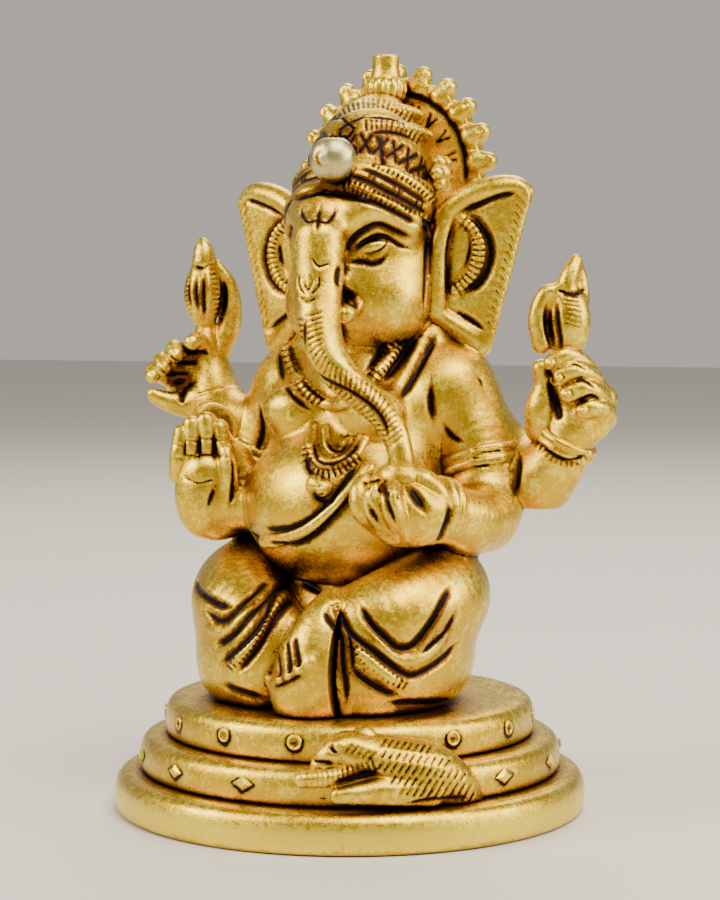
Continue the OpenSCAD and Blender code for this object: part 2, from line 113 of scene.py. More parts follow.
def soft_min(a, b, melt):
    if melt <= 0:
        return np.minimum(a, b)
    near = np.maximum(melt - np.abs(a - b), 0) / melt
    return np.minimum(a, b) - near * near * melt * 0.25


def ball(centre, radii, turn=None):
    """Distance to an egg shape. The columns of turn are its own axes."""
    radii = np.broadcast_to(np.array(radii, np.float32), (3,))

    def distance(x, y, z):
        p = [x - centre[0], y - centre[1], z - centre[2]]
        if turn is not None:
            p = [sum(turn[j][i] * p[j] for j in range(3)) for i in range(3)]
        far = np.sqrt(sum((p[i] / radii[i]) ** 2 for i in range(3)))
        steep = np.sqrt(sum((p[i] / radii[i] ** 2) ** 2 for i in range(3)))
        return far * (far - 1) / np.maximum(steep, 1e-4)

    reach = float(radii.max())
    return distance, np.array(centre) - reach, np.array(centre) + reach


def rod(a, b):
    """Distance to a round bar between two points that carry their own radius."""
    a, b = np.array(a, np.float32), np.array(b, np.float32)
    way = b[:3] - a[:3]
    length2 = max(float(way @ way), 1e-6)

    def distance(x, y, z):
        px, py, pz = x - a[0], y - a[1], z - a[2]
        t = np.clip((px * way[0] + py * way[1] + pz * way[2]) / length2, 0, 1)
        far = np.sqrt((px - way[0] * t) ** 2 + (py - way[1] * t) ** 2 + (pz - way[2] * t) ** 2)
        return far - (a[3] + (b[3] - a[3]) * t)

    reach = max(a[3], b[3], 0)
    return distance, np.minimum(a[:3], b[:3]) - reach, np.maximum(a[:3], b[:3]) + reach


def rods(path, cells, xyz, pad):
    """Distance to a chain of rods in a window, and far away where no rod is near."""
    out = np.full([s.stop - s.start for s in cells], FAR, np.float32)
    for a, b in zip(path[:-1], path[1:]):
        distance, low, high = rod(a, b)
        part = part_of(cells, low - pad, high + pad)
        if part:
            out[part] = np.minimum(out[part], distance(*coordinates(xyz, part)))
    return out


def smooth_path(points, per_span=6):
    """A smooth curve through its points, in as many dimensions as they have."""
    p = np.array(points, float)
    if len(p) < 3:
        return np.array([p[0] + (p[-1] - p[0]) * t for t in np.linspace(0, 1, per_span + 1)])
    p = np.vstack([2 * p[0] - p[1], p, 2 * p[-1] - p[-2]])
    out = []
    for a, b, c, d in zip(p, p[1:], p[2:], p[3:]):
        for t in np.arange(per_span) / per_span:
            out.append(0.5 * (2 * b + (c - a) * t + (2 * a - 5 * b + 4 * c - d) * t**2
                              + (3 * b - a - 3 * c + d) * t**3))
    return np.array([*out, p[-2]])


def even_path(points, gap):
    """The same curve as points an even gap apart."""
    p = smooth_path(points, 16)
    run = np.concatenate([[0], np.cumsum(np.linalg.norm(np.diff(p[:, :3], axis=0), axis=1))])
    at = np.linspace(0, run[-1], max(2, int(round(run[-1] / gap)) + 1))
    return np.array([[np.interp(s, run, p[:, k]) for k in range(p.shape[1])] for s in at])


# %% [markdown]
# ## Lumps
# Every piece of the object is one lump that keeps its own distances, so it can be told apart
# after the whole has been melted together. It lives in a window around its CAD node, which
# also keeps it in the space that the node holds.

# %% A lump for each CAD node
LUMPS = {}
SKIRT = 0.6


class Lump:
    """One node's own distances, in a window with some room around the node's box."""

    def __init__(self, node, melt=0.6, room=4.0):
        low, high = node_box(node)
        self.node, self.melt = node, melt
        self.cells, self.xyz = window(low - room, high + room)
        self.field = np.full([s.stop - s.start for s in self.cells], FAR, np.float32)
        LUMPS[node] = self

    def add(self, shape, melt=0.0, sign=1, least=1.0):
        """Melts a shape into the lump; a sign of -1 cuts it out instead."""
        distance, low, high = shape
        pad = max(melt, least) + SKIRT
        part = part_of(self.cells, low - pad, high + pad)
        if part:
            d = distance(*coordinates(self.xyz, part))
            self.field[part] = sign * soft_min(sign * self.field[part], d, melt)
        return self

    def cut(self, shape, melt=0.0):
        return self.add(shape, melt, -1, 0.5)

    def bar(self, points, melt=0.0, per_span=6):
        """A round bar along a smooth path of [x, y, z, radius]."""
        path = smooth_path(points, per_span)
        pad = max(melt, 1.0) + SKIRT
        reach = path[:, 3].max() + pad
        part = part_of(self.cells, path[:, :3].min(0) - reach, path[:, :3].max(0) + reach)
        if part:
            own = tuple(slice(c.start + p.start, c.start + p.stop)
                        for c, p in zip(self.cells, part))
            thin = rods(path, own, coordinates(self.xyz, part), pad)
            self.field[part] = soft_min(self.field[part], thin, melt)
        return self

    def draw(self, points, melt=0.0, per_span=6):
        """A bar whose points are (across, up, depth, radius), as seen from the eye."""
        return self.bar(seen_bar(points), melt, per_span)

    def keep_above(self, height):
        self.field = np.maximum(self.field, height - self.xyz[2])
        return self


def between_cells(grid, g):
    """A grid's values between its cells, at places counted in cells from the first one."""
    g = np.clip(g, 0, np.array(grid.shape) - 1.001)
    i = g.astype(int)
    f = g - i
    total = 0
    for corner in np.ndindex(2, 2, 2):
        weight = np.prod(np.abs(1 - np.array(corner) - f), axis=-1)
        total = total + weight * grid[tuple(np.moveaxis(i + corner, -1, 0))]
    return total


def sample(field, cells, points):
    """Distances at points; far away outside the window."""
    g = (np.asarray(points) - GRID_LOW) / CELL - [s.start for s in cells]
    inside = np.all((g >= 0) & (g < np.array(field.shape) - 1), axis=-1)
    return np.where(inside, between_cells(field, g), FAR)


# %% [markdown]
# ## The drawing board
# An engraver draws a line as it is seen from one side and cuts it where it falls on the metal.
# The board is an upright plane through the middle of the figure, square to an eye that looks
# from the front left. A board point is (across, up) in millimetres, and a sight line
# carries it onto whatever lump it meets.

# %% The eye and the board
EYE_TURN = math.radians(27.0)
SIGHT_STEP = 0.4
EYE_ACROSS, EYE_AWAY, EYE_UP, EYE_DIP = 1.7, 378.8, 82.6, math.radians(3.45)


def board_axes(turn):
    c, s = math.cos(turn), math.sin(turn)
    return np.array([c, s, 0]), np.array([-s, c, 0]), np.array([0, 0, 1.0])


ACROSS, INTO, UP = board_axes(EYE_TURN)
EYE = ACROSS * EYE_ACROSS - INTO * EYE_AWAY + UP * EYE_UP
FACING_EYE = np.array([ACROSS, INTO, UP]).T


def seen(across, up, depth=0.0, *rest):
    """The point on a sight line at a depth behind the board, with anything that it carries."""
    on_board = ACROSS * across + UP * up
    point = EYE + (on_board - EYE) * ((EYE_AWAY + depth) / EYE_AWAY)
    return [*point, *rest]


def seen_bar(points):
    return [seen(*p) for p in points]


def cast(points, on, near=-45.0, far=25.0, board=None):
    """Board points carried along their sight lines onto the first surface of a lump.

    Returns the places and whether each sight line met the lump.
    """
    across, into, up = board or (ACROSS, INTO, UP)
    eye = EYE if board is None else up * middle("head")[2] - into * EYE_AWAY
    p = np.array([across * q[0] + up * q[1] for q in points])
    depth = np.arange(near, far, SIGHT_STEP)
    ray = eye + (p[:, None, :] - eye) * ((EYE_AWAY + depth) / EYE_AWAY)[None, :, None]
    d = sample(on.field, on.cells, ray)
    places, met = [], []
    for k in range(len(p)):
        hit = np.nonzero(d[k] < 0)[0]
        met.append(len(hit) > 0 and hit[0] > 0)
        if met[-1]:
            j = hit[0]
            t = d[k, j - 1] / max(d[k, j - 1] - d[k, j], 1e-6)
            places.append(ray[k, j - 1] + (ray[k, j] - ray[k, j - 1]) * t)
        else:
            places.append(ray[k, int(np.argmin(d[k]))])
    return np.array(places), np.array(met)


def drawn(points, on, gap=0.5, board=None):
    """A smooth line on the board, carried onto a lump as points an even gap apart."""
    flat = np.array([[p[0], p[1], 0.0] for p in points])
    places, met = cast(even_path(flat, gap)[:, :2], on, board=board)
    return places[met] if met.any() else places[:0]


print("grid of", COUNT, "cells")

# %% [markdown]
# ## The lap
# The legs are folded flat under a cloth. Each is a thick bar that goes out over the seat and
# back to the middle, twice, melted into one soft mass like wax pressed with the thumbs.

# %% Hips, legs and feet
def mirrored(points):
    return [(-p[0], *p[1:]) for p in points]


hips = Lump("hips", 2.0)
hips.add(ball((0, 5, 30), (19, 17, 13))).keep_above(SEAT)

thigh = [(7, 6, 34, 8), (14.2, 3, 36.2, 8.8), (17.0, -4, 35.8, 8.8), (14.0, -11.5, 33.6, 8.3),
         (6, -17, 31, 6.4)]
calf = [(14, 4, 25.5, 6.6), (16.6, -5, 25, 6.8), (13.6, -13.5, 24.5, 7.0), (6.5, -18.0, 24.5, 6.6)]
for node, side in (("right_leg", mirrored), ("left_leg", list)):
    leg = Lump(node, 2.0)
    leg.bar(side(thigh), 2.0).bar(side(calf), 5.0)
    leg.keep_above(SEAT)

foot = Lump("right_foot", 1.2)
foot.draw([(-2.9, 33.9, -19, 2.6), (-4.2, 30.2, -21, 4.2), (-5.9, 25.1, -21.5, 5.6),
           (-7.1, 19.1, -20.5, 6.2)], 2)
foot.add(ball(seen(-4.7, 20.8, -21.5), (5, 5, 7)), 3).keep_above(SEAT)

pad = Lump("left_foot", 0.4)
pad.draw([(-1.2, 17.1, -22.5, 1.9), (2.7, 16.7, -23, 2), (6.4, 16.9, -22.5, 1.9)],
         0.5).keep_above(SEAT)

cloth = Lump("waist_cloth", 0.5)
cloth.draw([(-3.2, 34.4, -19.5, 1.7), (-2.4, 31.0, -22, 1.6), (-1.5, 25.9, -23.5, 1.7),
            (-0.8, 19.1, -23.5, 1.8), (-0.7, 16.4, -23, 1.9)], 0.6)
cloth.keep_above(SEAT)
print("lap lumps:", list(LUMPS))

# %% [markdown]
# ## The trunk of the body
# A round belly sits in the lap, with a small chest over it and wide shoulders. They are eggs
# melted together with a wide melt, so that no seam shows between them.

# %% Belly, chest and shoulders
torso = Lump("torso", 1.0)
torso.add(ball((0, -1.2, 51), (17.2, 16.2, 14.5)))
torso.add(ball((0, 3.5, 65), (15.5, 11.5, 11)), 5)
torso.add(ball((0, 9, 55), (16, 10, 18)), 5)
for side in (-1, 1):
    torso.add(ball((side * 13.5, 9, 69.5), 8.2), 5)
    torso.add(ball((side * 7.2, -6.6, 66.5), (5.4, 4.2, 4.4)), 2.2)
torso.bar([(0, 7, 70, 9), (0, 7, 80, 8.5)], 4)
for side in (-1, 1):
    torso.bar([(side * 8, 8.5, 72, 5), (side * 10.5, 8.3, 78.5, 3.6)], 3)

# %% [markdown]
# ## The arms
# Four arms leave two shoulders. Each is a bar through its shoulder, elbow and wrist, a little
# thinner at each. The front pair lies close to the body and the rear pair reaches out.

# %% Arms
front_arm = [(14.5, 9, 69.5, 7.6), (19, 8.3, 62, 7), (22.3, 6.5, 53, 6.2), (22.8, 3.5, 49.5, 5.6)]
left_arm = Lump("front_left_arm", 2.2)
left_arm.bar(front_arm, 1.0)
left_arm.bar([(22.8, 3.5, 49.5, 5.6), (23.2, -2, 49, 5.3), (21.8, -7.5, 50.5, 4.7),
              (19.8, -11, 51.5, 4.3)], 2.5)

right_arm = Lump("front_right_arm", 2.2)
right_arm.bar(mirrored(front_arm), 1.0)
right_arm.bar([(-22.8, 3.5, 49.5, 5.6), (-22, -1, 49.5, 4.8), seen(-18.8, 50.5, 1, 4.2)], 2.5)

rear_right = Lump("rear_right_arm", 1.5)
rear_right.bar([(-13.5, 11, 68.5, 6.2), (-20, 12, 64, 5.8), (-25.5, 10.5, 61.5, 5.4),
                seen(-20.4, 63.9, 17, 5.2)], 2.0)
rear_right.draw([(-20.4, 63.9, 17, 5.2), (-22.1, 68.1, 20, 4.6), (-23.1, 72.3, 22, 3.7)], 2.0)

rear_left = Lump("rear_left_arm", 1.5)
rear_left.bar([(13.5, 11, 68.5, 6.2), (20, 12, 61.5, 5.8), (25.5, 11, 57.5, 5.6),
               seen(31.9, 54.7, -6, 5.2)], 2.0)
rear_left.draw([(31.9, 54.7, -6, 5.3), (34.4, 57.7, -7.5, 5), (36.2, 60.6, -9, 4.4),
                (37.2, 63.9, -9.5, 4)], 2.0)

# %% [markdown]
# ## The hands
# The raised hand is a flat palm with four straight fingers side by side. The open hand is a
# cup whose fingers curl up over a sweet. The rear hands are fists with stacked fingers.

# %% Raised hand and open hand
raised = Lump("raised_hand", 1.0)
raised.add(ball(seen(-24.5, 52.7, 0.5), (4.9, 3.0, 6.6), FACING_EYE))
raised.draw([(-24.3, 56.4, 0.5, 3.2), (-24.7, 49.3, 0.5, 3.4), (-23.2, 47.3, 1, 2.6)], 2)
for path in ([(-28.9, 55.7, 0.5, 1.5), (-28.7, 58.9, 0.3, 1.55), (-28.2, 62.7, 0.6, 1.4)],
             [(-26.7, 56.0, 0.2, 1.6), (-26.7, 60.1, 0, 1.65), (-26.5, 64.1, 0.3, 1.5)],
             [(-24.0, 56.0, 0.2, 1.6), (-24.0, 60.6, 0, 1.65), (-24.1, 64.8, 0.3, 1.5)],
             [(-21.5, 55.7, 0.4, 1.5), (-21.5, 60.1, 0.2, 1.55), (-21.8, 63.6, 0.6, 1.4)]):
    raised.draw(path, 0.25)
raised.draw([(-21.5, 49.3, -0.6, 1.9), (-20.3, 53.8, -1.6, 1.6), (-20.5, 57.5, -1.8, 1.45),
             (-20.8, 59.6, -1.4, 1.2)], 1.0)
raised.draw([(-18.8, 58.9, 4.5, 2), (-17.3, 54.7, 4.5, 2.8), (-18.0, 50.5, 3.5, 3.6),
             (-21.0, 47.9, 2.5, 3)], 2)
raised.draw([(-24.3, 63.9, 3.5, 2.4), (-22.6, 60.6, 4, 3.2), (-22.7, 54.7, 3.5, 3.6)], 2)

cup = Lump("open_hand", 1.0)
cup.add(ball(seen(9.3, 49.3, -20), (6.3, 5.0, 4.6)))
cup.add(ball(seen(9.1, 49.6, -21), (7.4, 4.6, 5.2), FACING_EYE), 1.0)
cup.draw([(16.0, 48.3, -17, 4), (12.6, 48.3, -19, 4.2), (8.4, 47.6, -20, 3.4)], 2.5)
for path in ([(4.0, 47.6, -20.5, 1.6), (1.9, 49.6, -22, 1.65), (1.5, 52.7, -21.5, 1.5),
              (2.4, 54.5, -20, 1.3)],
             [(6.4, 46.4, -22, 1.8), (4.4, 49.3, -24, 1.8), (3.9, 52.0, -24, 1.65),
              (4.4, 54.0, -22.5, 1.4)],
             [(9.1, 46.1, -23, 1.9), (7.6, 48.8, -25.5, 1.9), (6.9, 51.5, -25.5, 1.75),
              (7.2, 53.3, -24, 1.45)],
             [(14.1, 47.9, -20, 2), (15.1, 51.3, -21, 2), (13.1, 54.2, -21.5, 1.9),
              (10.8, 55.2, -21, 1.6)]):
    cup.draw(path, 0.3)

sweet = Lump("sweet", 0.4)
sweet.add(ball(seen(8.2, 55.0, -20), (3.9, 3.4, 2.9)))


# %% Fists
fist_r = Lump("rear_right_fist", 0.7, 6.5)
fist_r.add(ball(seen(-27.1, 72.1, 21.8), (4.4, 2.6, 4.6), FACING_EYE))
fist_r.draw([(-22.8, 67.4, 20.8, 4), (-22.9, 70.1, 21.4, 3.6), (-22.9, 72.8, 21.8, 3.2),
             (-23.6, 75.5, 21.6, 2.6), (-24.1, 77.3, 21.3, 2.3), (-24.2, 78.8, 21.5, 2)], 1.5)
fist_r.draw([(-24.6, 68.1, 20, 3.6), (-26.8, 67.4, 19.4, 2.5), (-29.8, 67.8, 18.6, 1.9),
             (-32.1, 68.6, 18.2, 1.45), (-32.9, 69.1, 18, 1.2)], 0.8)
for path in ([(-24.6, 76.8, 20.5, 1.7), (-25.6, 78.2, 18.8, 1.5), (-26.4, 77.8, 17.6, 1.4)],
             [(-27.8, 75.8, 21.5, 1.7), (-29.3, 76.8, 19.2, 1.6), (-29.2, 75.7, 17.3, 1.45)],
             [(-29.4, 74.0, 21.5, 1.7), (-31.3, 74.8, 19.2, 1.6), (-31.2, 73.6, 17.3, 1.4)],
             [(-31.0, 72.1, 21, 1.6), (-32.9, 73.1, 19.2, 1.4), (-33.0, 72.1, 17.6, 1.25)]):
    fist_r.draw(path, 0.25)

fist_l = Lump("rear_left_fist", 0.8)
fist_l.add(ball(seen(37.4, 67.8, -8.5), (4.2, 4.2, 6.4)))
fist_l.draw([(32.0, 63.4, -9, 2.6), (31.9, 66.8, -9.5, 2.5), (32.7, 70.6, -9.5, 1.9),
             (32.0, 73.5, -10, 1.5)], 1.2)
fist_l.draw([(37.7, 63.1, -10, 3.6), (40.6, 64.8, -9, 3.4), (41.9, 68.1, -8, 3)], 1.5)
for path in ([(33.7, 74.3, -12.5, 1.35), (36.2, 75.6, -12, 1.6), (38.9, 74.1, -10, 1.7),
              (40.5, 72.1, -8, 1.7)],
             [(34.8, 71.8, -13, 1.4), (37.5, 73.0, -12.8, 1.7), (40.5, 71.5, -10.5, 1.8),
              (41.9, 69.5, -8, 1.8)],
             [(36.4, 69.1, -13.2, 1.4), (39.0, 70.1, -13, 1.7), (41.7, 68.6, -10.5, 1.8),
              (42.7, 67.1, -8, 1.8)],
             [(39.1, 66.3, -13, 1.4), (40.9, 66.9, -12.4, 1.6), (42.8, 66.1, -10, 1.7),
              (43.1, 64.8, -8, 1.6)]):
    fist_l.draw(path, 0.25)

# %% [markdown]
# ## The emblems
# Each rear hand holds an emblem like a bud with a pointed tip: a goad head in the right one and
# a shell in the left. A bulb and a bent tip are enough for the form, and the lines come later.

# %% Goad and shell
goad = Lump("goad", 0.5)
goad.add(ball(seen(-24.5, 86.0, 22), (3.45, 3.3, 5.4)))
goad.draw([(-24.5, 84.0, 22, 2.6), (-24.2, 81.2, 22, 1.9), (-23.9, 78.5, 21.8, 1.7)], 1.0)
goad.draw([(-24.4, 89.5, 22, 2.3), (-24.3, 91.8, 22, 2.05), (-24.4, 93.2, 22, 1.65),
           (-24.5, 94.5, 22, 0.9)], 0.5)
goad.draw([(-22.2, 90.8, 22.4, 0.9), (-20.5, 87.8, 22.8, 1.5), (-19.9, 84.3, 23, 1.9),
           (-20.2, 80.5, 23, 2.1), (-21.6, 77.5, 22.6, 2.3), (-22.9, 75.1, 22, 2.5)], 0.5)

shell = Lump("conch", 0.5)
shell.add(ball(seen(36.3, 81.2, -9.5), (3.9, 3.4, 6.2)))
shell.draw([(32.0, 77.3, -10.5, 1.5), (31.3, 81.8, -10.5, 1.5), (32.6, 85.7, -10.5, 1.4),
            (34.4, 86.5, -10.5, 1.2)], 0.8)
shell.draw([(35.6, 84.8, -10, 2), (36.6, 88.8, -10, 1.55), (37.7, 91.5, -9.5, 1)], 0.8)
shell.draw([(38.5, 84.8, -8.5, 1.6), (38.4, 88.5, -8.5, 1.2), (37.9, 91.2, -9, 0.8)], 0.8)

# %% [markdown]
# ## The head
# The skull is a wide egg with a long flat forehead that runs down into the trunk. The cheeks
# are two flat eggs, and the eye sits in a hollow between brow and cheek.

# %% Skull, cheeks and brow
head = Lump("head", 1.5)
head.add(ball((0, 5.5, 91), (12.2, 11.5, 12.0)))
head.add(ball((0, 3, 84), (11, 9.5, 7.5)), 4)
head.draw([(-4.0, 102.1, -1.5, 4), (-4.6, 99.0, -4.5, 4.3), (-5.1, 94.0, -7.6, 4.5),
           (-5.3, 89.8, -8.6, 4.1)], 3.5)
for side in (-1, 1):
    head.add(ball((side * 6.3, 2.6, 84.2), (5.9, 6.6, 7.0)), 3)
    head.bar([(side * 2.5, -5.0, 98.5, 2.6), (side * 6.5, -4.0, 99.6, 2.7),
              (side * 10.2, 0.5, 97.8, 2.5)], 4)
    head.cut(ball((side * 5.6, -9.6, 92.0), (3.4, 3.2, 2.4)), 3.0)
    head.cut(ball((side * 3.9, -9.8, 80.5), (1.9, 3.0, 2.6)), 1.5)
eye_place = cast([(3.7, 93.7)], head)[0][0] + INTO * 0.55
EYE_LEAN = 0.16
eyelid = ACROSS * math.cos(EYE_LEAN) + UP * math.sin(EYE_LEAN)
slant = UP * math.cos(EYE_LEAN) - ACROSS * math.sin(EYE_LEAN)
for turn in (1, -1):
    flip_x = np.array([turn, 1, 1])
    eye_axes = (np.array([eyelid, INTO, slant]) * flip_x).T
    head.add(ball(eye_place * flip_x, (2.75, 1.15, 1.35), eye_axes), 0.3)

# %% [markdown]
# ## The trunk
# The trunk leaves the brow as wide as the nose of an elephant, hangs over the chest and sweeps
# across to the sweet in the left hand. It is one bar that grows thinner all the way.

# %% Trunk and tusks
trunk = Lump("trunk", 1.0)
trunk.draw([(-5.1, 94.8, -8.5, 4.4), (-5.3, 89.8, -9.5, 4.2), (-5.3, 84.8, -11, 3.85),
            (-5.0, 79.8, -13, 3.5), (-3.2, 74.8, -15, 3.1), (0.2, 70.6, -16.5, 2.8),
            (3.9, 67.4, -18, 2.6), (6.9, 63.8, -19.5, 2.35), (8.2, 60.4, -20.5, 2.1),
            (8.7, 58.0, -21, 2)], 0.4, 8)

left_tusk = seen_bar([(1.2, 84.3, -6, 1.7), (0.0, 83.5, -8, 1.75), (-0.6, 82.5, -9.8, 1.55)])
for node, path in (("left_tusk", left_tusk), ("right_tusk", mirrored(left_tusk))):
    Lump(node, 0.3).bar(path, 0.2)

# %% [markdown]
# ## The ears
# An ear is a wide leaf of wax with its top edge rolled over like a scroll. The leaf is a thin
# slab cut to an outline: the outline is drawn on the board as a closed line, and the slab
# keeps the cells that lie inside it.

# %% Ears
def sloping_plane(turn):
    """An ear's plane as its origin, sideways, up and outward; a turn of -1 mirrors it."""
    side = np.array([1, turn * 0.22, 0]) / math.hypot(1, 0.22)
    return np.array([turn * 10.5, 8.0, 90.3]), side, UP, np.cross(side, UP)


def on_plane(points, plane):
    """Where the sight lines of board points meet a plane, in the plane's own two directions."""
    origin, side, up, out = plane
    flat = []
    for p in points:
        way = np.array(seen(p[0], p[1])) - EYE
        hit = EYE + way * ((origin - EYE) @ out / (way @ out))
        flat.append(((hit - origin) @ side, (hit - origin) @ up))
    return flat


def leaf(lump, outline, plane, thick, melt=0.4):
    """A slab on a sloping plane, cut to a closed outline in its own two directions."""
    origin, *ways = plane
    q = [place - middle_of for place, middle_of in zip(lump.xyz, origin)]
    s, t, w = (sum(way[i] * q[i] for i in range(3)) for way in ways)
    edge = smooth_path([*outline, outline[0]], 5)
    best = np.full(s.shape, 1e3, np.float32)
    inside = np.zeros(s.shape, bool)
    for a, b in zip(edge[:-1], edge[1:]):
        ex, ey = b - a
        k = np.clip(((s - a[0]) * ex + (t - a[1]) * ey) / (ex * ex + ey * ey + 1e-9), 0, 1)
        best = np.minimum(best, np.hypot(s - a[0] - ex * k, t - a[1] - ey * k))
        crosses = (a[1] > t) != (b[1] > t)
        rise = ey if abs(ey) > 1e-9 else 1e-9
        inside ^= crosses & (s < ex * (t - a[1]) / rise + a[0])
    flat = np.where(inside, -best, best) + 0.5
    thin = np.abs(w) - thick / 2 + 0.5
    d = np.minimum(np.maximum(flat, thin), 0) + np.hypot(np.maximum(flat, 0),
                                                         np.maximum(thin, 0)) - 0.5
    lump.field = soft_min(lump.field, np.clip(d, -FAR, FAR).astype(np.float32), melt)


EAR_LINE = [(15.0, 97.8), (17.5, 100.1), (20.9, 103.1), (25.0, 104.8), (28.3, 104.6), (30.2, 102.3),
            (29.5, 99.0), (28.2, 94.0), (26.7, 88.2), (25.3, 82.8), (23.9, 77.7), (22.9, 76.0),
            (21.1, 76.0), (18.1, 78.2), (15.1, 80.5), (13.9, 82.8), (14.1, 87.3), (14.5, 93.2)]
EAR_THICK = 2.2
ear_leaf = on_plane(EAR_LINE, sloping_plane(1))
roll = seen_bar([(14.5, 97.1, 1.2, 1.5), (16.5, 99.5, 0.8, 1.9), (20.0, 102.1, 0.2, 2.1),
                 (24.2, 103.4, -0.6, 2.15), (27.5, 103.6, -1, 1.9), (29.5, 102.8, -1.2, 1.3)])
stem = seen_bar([(16.2, 99.5, 0.5, 1.6), (15.2, 95.6, 0.2, 1.7), (14.5, 91.2, 0.2, 1.75),
                 (14.4, 86.5, 0.2, 1.7), (14.4, 82.8, 0.4, 1.7)])
lobe = seen_bar([(14.6, 82.5, 0.8, 1.5), (16.7, 81.2, 0.6, 1.5), (19.8, 79.2, 0.4, 1.5),
                 (22.4, 77.2, 0.2, 1.4)])
shell_fold = seen_bar([(18.9, 98.3, 0.2, 1.1), (20.7, 96.8, -0.2, 1.5), (21.7, 93.8, -0.3, 1.7),
                       (21.2, 90.5, -0.2, 1.7), (19.7, 88.0, -0, 1.5), (17.7, 86.5, 0.4, 1.1)])
for node, side, turn in (("left_ear", list, 1), ("right_ear", mirrored, -1)):
    ear = Lump(node, 0.8)
    leaf(ear, [(turn * a, b) for a, b in ear_leaf], sloping_plane(turn), EAR_THICK)
    for part in (roll, stem, lobe, shell_fold):
        ear.bar(side(part), 0.5)

# %% [markdown]
# ## The crown
# The crown is a band that dips towards the ears, a cap of beaded rings over it, a finial on a
# ribbed ring and a scalloped halo plate at the back.

# %% Band and cap
band = Lump("crown_band", 0.4)
band.add(ball((0, 5.2, 101.0), (12.5, 12.5, 11.0)))
bx, by, bz = band.xyz
dip = 0.012 * (bx**2) + 0.16 * (by + 7)
band.field = np.maximum(band.field, (101.7 - dip) - bz)
band.field = np.maximum(band.field, bz - (108.2 - dip))

TIERS = ((114.0, 8.7, 9.5, 0.95), (117.3, 6.4, 11.3, 0.85))
cap = Lump("crown_cap", 0.4)
cap.bar([(0, 5.6, 102.5, 10.6), (0, 6.6, 106.5, 10.3), (0, 8.4, 110.4, 8.6), (0, 10.6, 113.8, 6.2),
         (0, 12.4, 116.4, 4.0)], 0.8)
for height, radius, back, thick in TIERS:
    ring = [(radius * math.sin(t), back - radius * math.cos(t),
             height - 0.10 * radius * (1 - math.cos(t)), thick)
            for t in np.linspace(-2.1, 2.1, 41)]
    cap.bar(ring, 0.4, 1)

boss = Lump("crown_boss", 0.15)
boss.add(ball(seen(-2.8, 108.3, -7.2), (3.85, 3.2, 3.85), FACING_EYE))

# %% Finial and halo
finial = Lump("finial", 0.2)
FIN = middle("finial")
plug = [(*FIN[:2], up, radius)
        for radius, up in ((2.6, 120.0), (2.75, 122.0), (2.3, 124.5), (2.35, 126.6))]
for lower, upper in zip(plug[:-1], plug[1:]):
    finial.add(rod(lower, upper), 0.1)
finial.field = np.maximum(finial.field, finial.xyz[2] - (DRAWN_HEIGHT - 0.3))
finial.cut(rod((*FIN[:2], 125.6, 1.1), (*FIN[:2], 130, 1.1)), 0.3)
for t in np.linspace(0, 2 * math.pi, 14, endpoint=False):
    finial.add(ball((FIN[0] + 2.9 * math.sin(t), FIN[1] - 2.9 * math.cos(t), 120.9),
                    (0.85, 0.85, 1.8)), 0.2)

halo = Lump("halo", 0.4)
HALO = middle("halo")
halo_low, halo_high = node_box("halo")
HALO_R = (halo_high[0] - halo_low[0]) / 2
HUB = halo_high[2] - HALO_R + 1.9
HALO_HALF = 1.2
hx, hy, hz = halo.xyz
disc = np.hypot(hx - HALO[0], hz - HUB) - (HALO_R - 2.6)
halo.field = np.clip(np.maximum(disc, np.abs(hy - HALO[1]) - HALO_HALF), -FAR,
                     FAR).astype(np.float32)
for turn in np.radians(np.linspace(-12, 192, 13)):
    out = np.array((math.cos(turn), 0, math.sin(turn)))
    past = np.array((math.sin(turn), 0, -math.cos(turn)))
    hub = np.array((HALO[0], HALO[1], HUB))
    halo.add(rod((*(hub + out * (HALO_R - 3.6)), 2.25), (*(hub + out * (HALO_R - 1.7)), 1.6)), 0.3)
    halo.cut(ball(hub + out * (HALO_R - 2.2) + past * 2.15 - np.array((0, 0.8, 0)),
                  (0.7, 1.5, 0.7)), 0.4)
    halo.cut(ball(hub + out * (HALO_R - 1.2) - np.array((0, 1.9, 0)), (0.6, 0.8, 0.6)), 0.4)

for node, side in (("right_crown_flower", -1), ("left_crown_flower", 1)):
    flower = Lump(node, 0.4)
    c = middle(node)
    flower.add(ball(c, (2.0, 2.2, 2.2)))
    for a in np.arange(6) * math.pi / 3:
        flower.add(ball((c[0] + side * 0.3, c[1] + 2.1 * math.cos(a), c[2] + 2.1 * math.sin(a)),
                        1.25), 0.3)

# %% [markdown]
# ## Ornaments laid on the body
# Sash, necklace, pendant and bangles are rolls of wax laid on the body and pressed down, so
# each is a bar whose path is carried onto the surface that it lies on.

# %% Strands
def lay(node, points, on, radius, sink=0.3, melt=0.25):
    """A roll laid on a lump along a line of the board."""
    lump = LUMPS.get(node) or Lump(node, melt, 11.0)
    path = drawn(points, on, 0.8) + INTO * radius * sink
    lump.bar([(*p, radius) for p in path], 0.2, 1)
    return lump


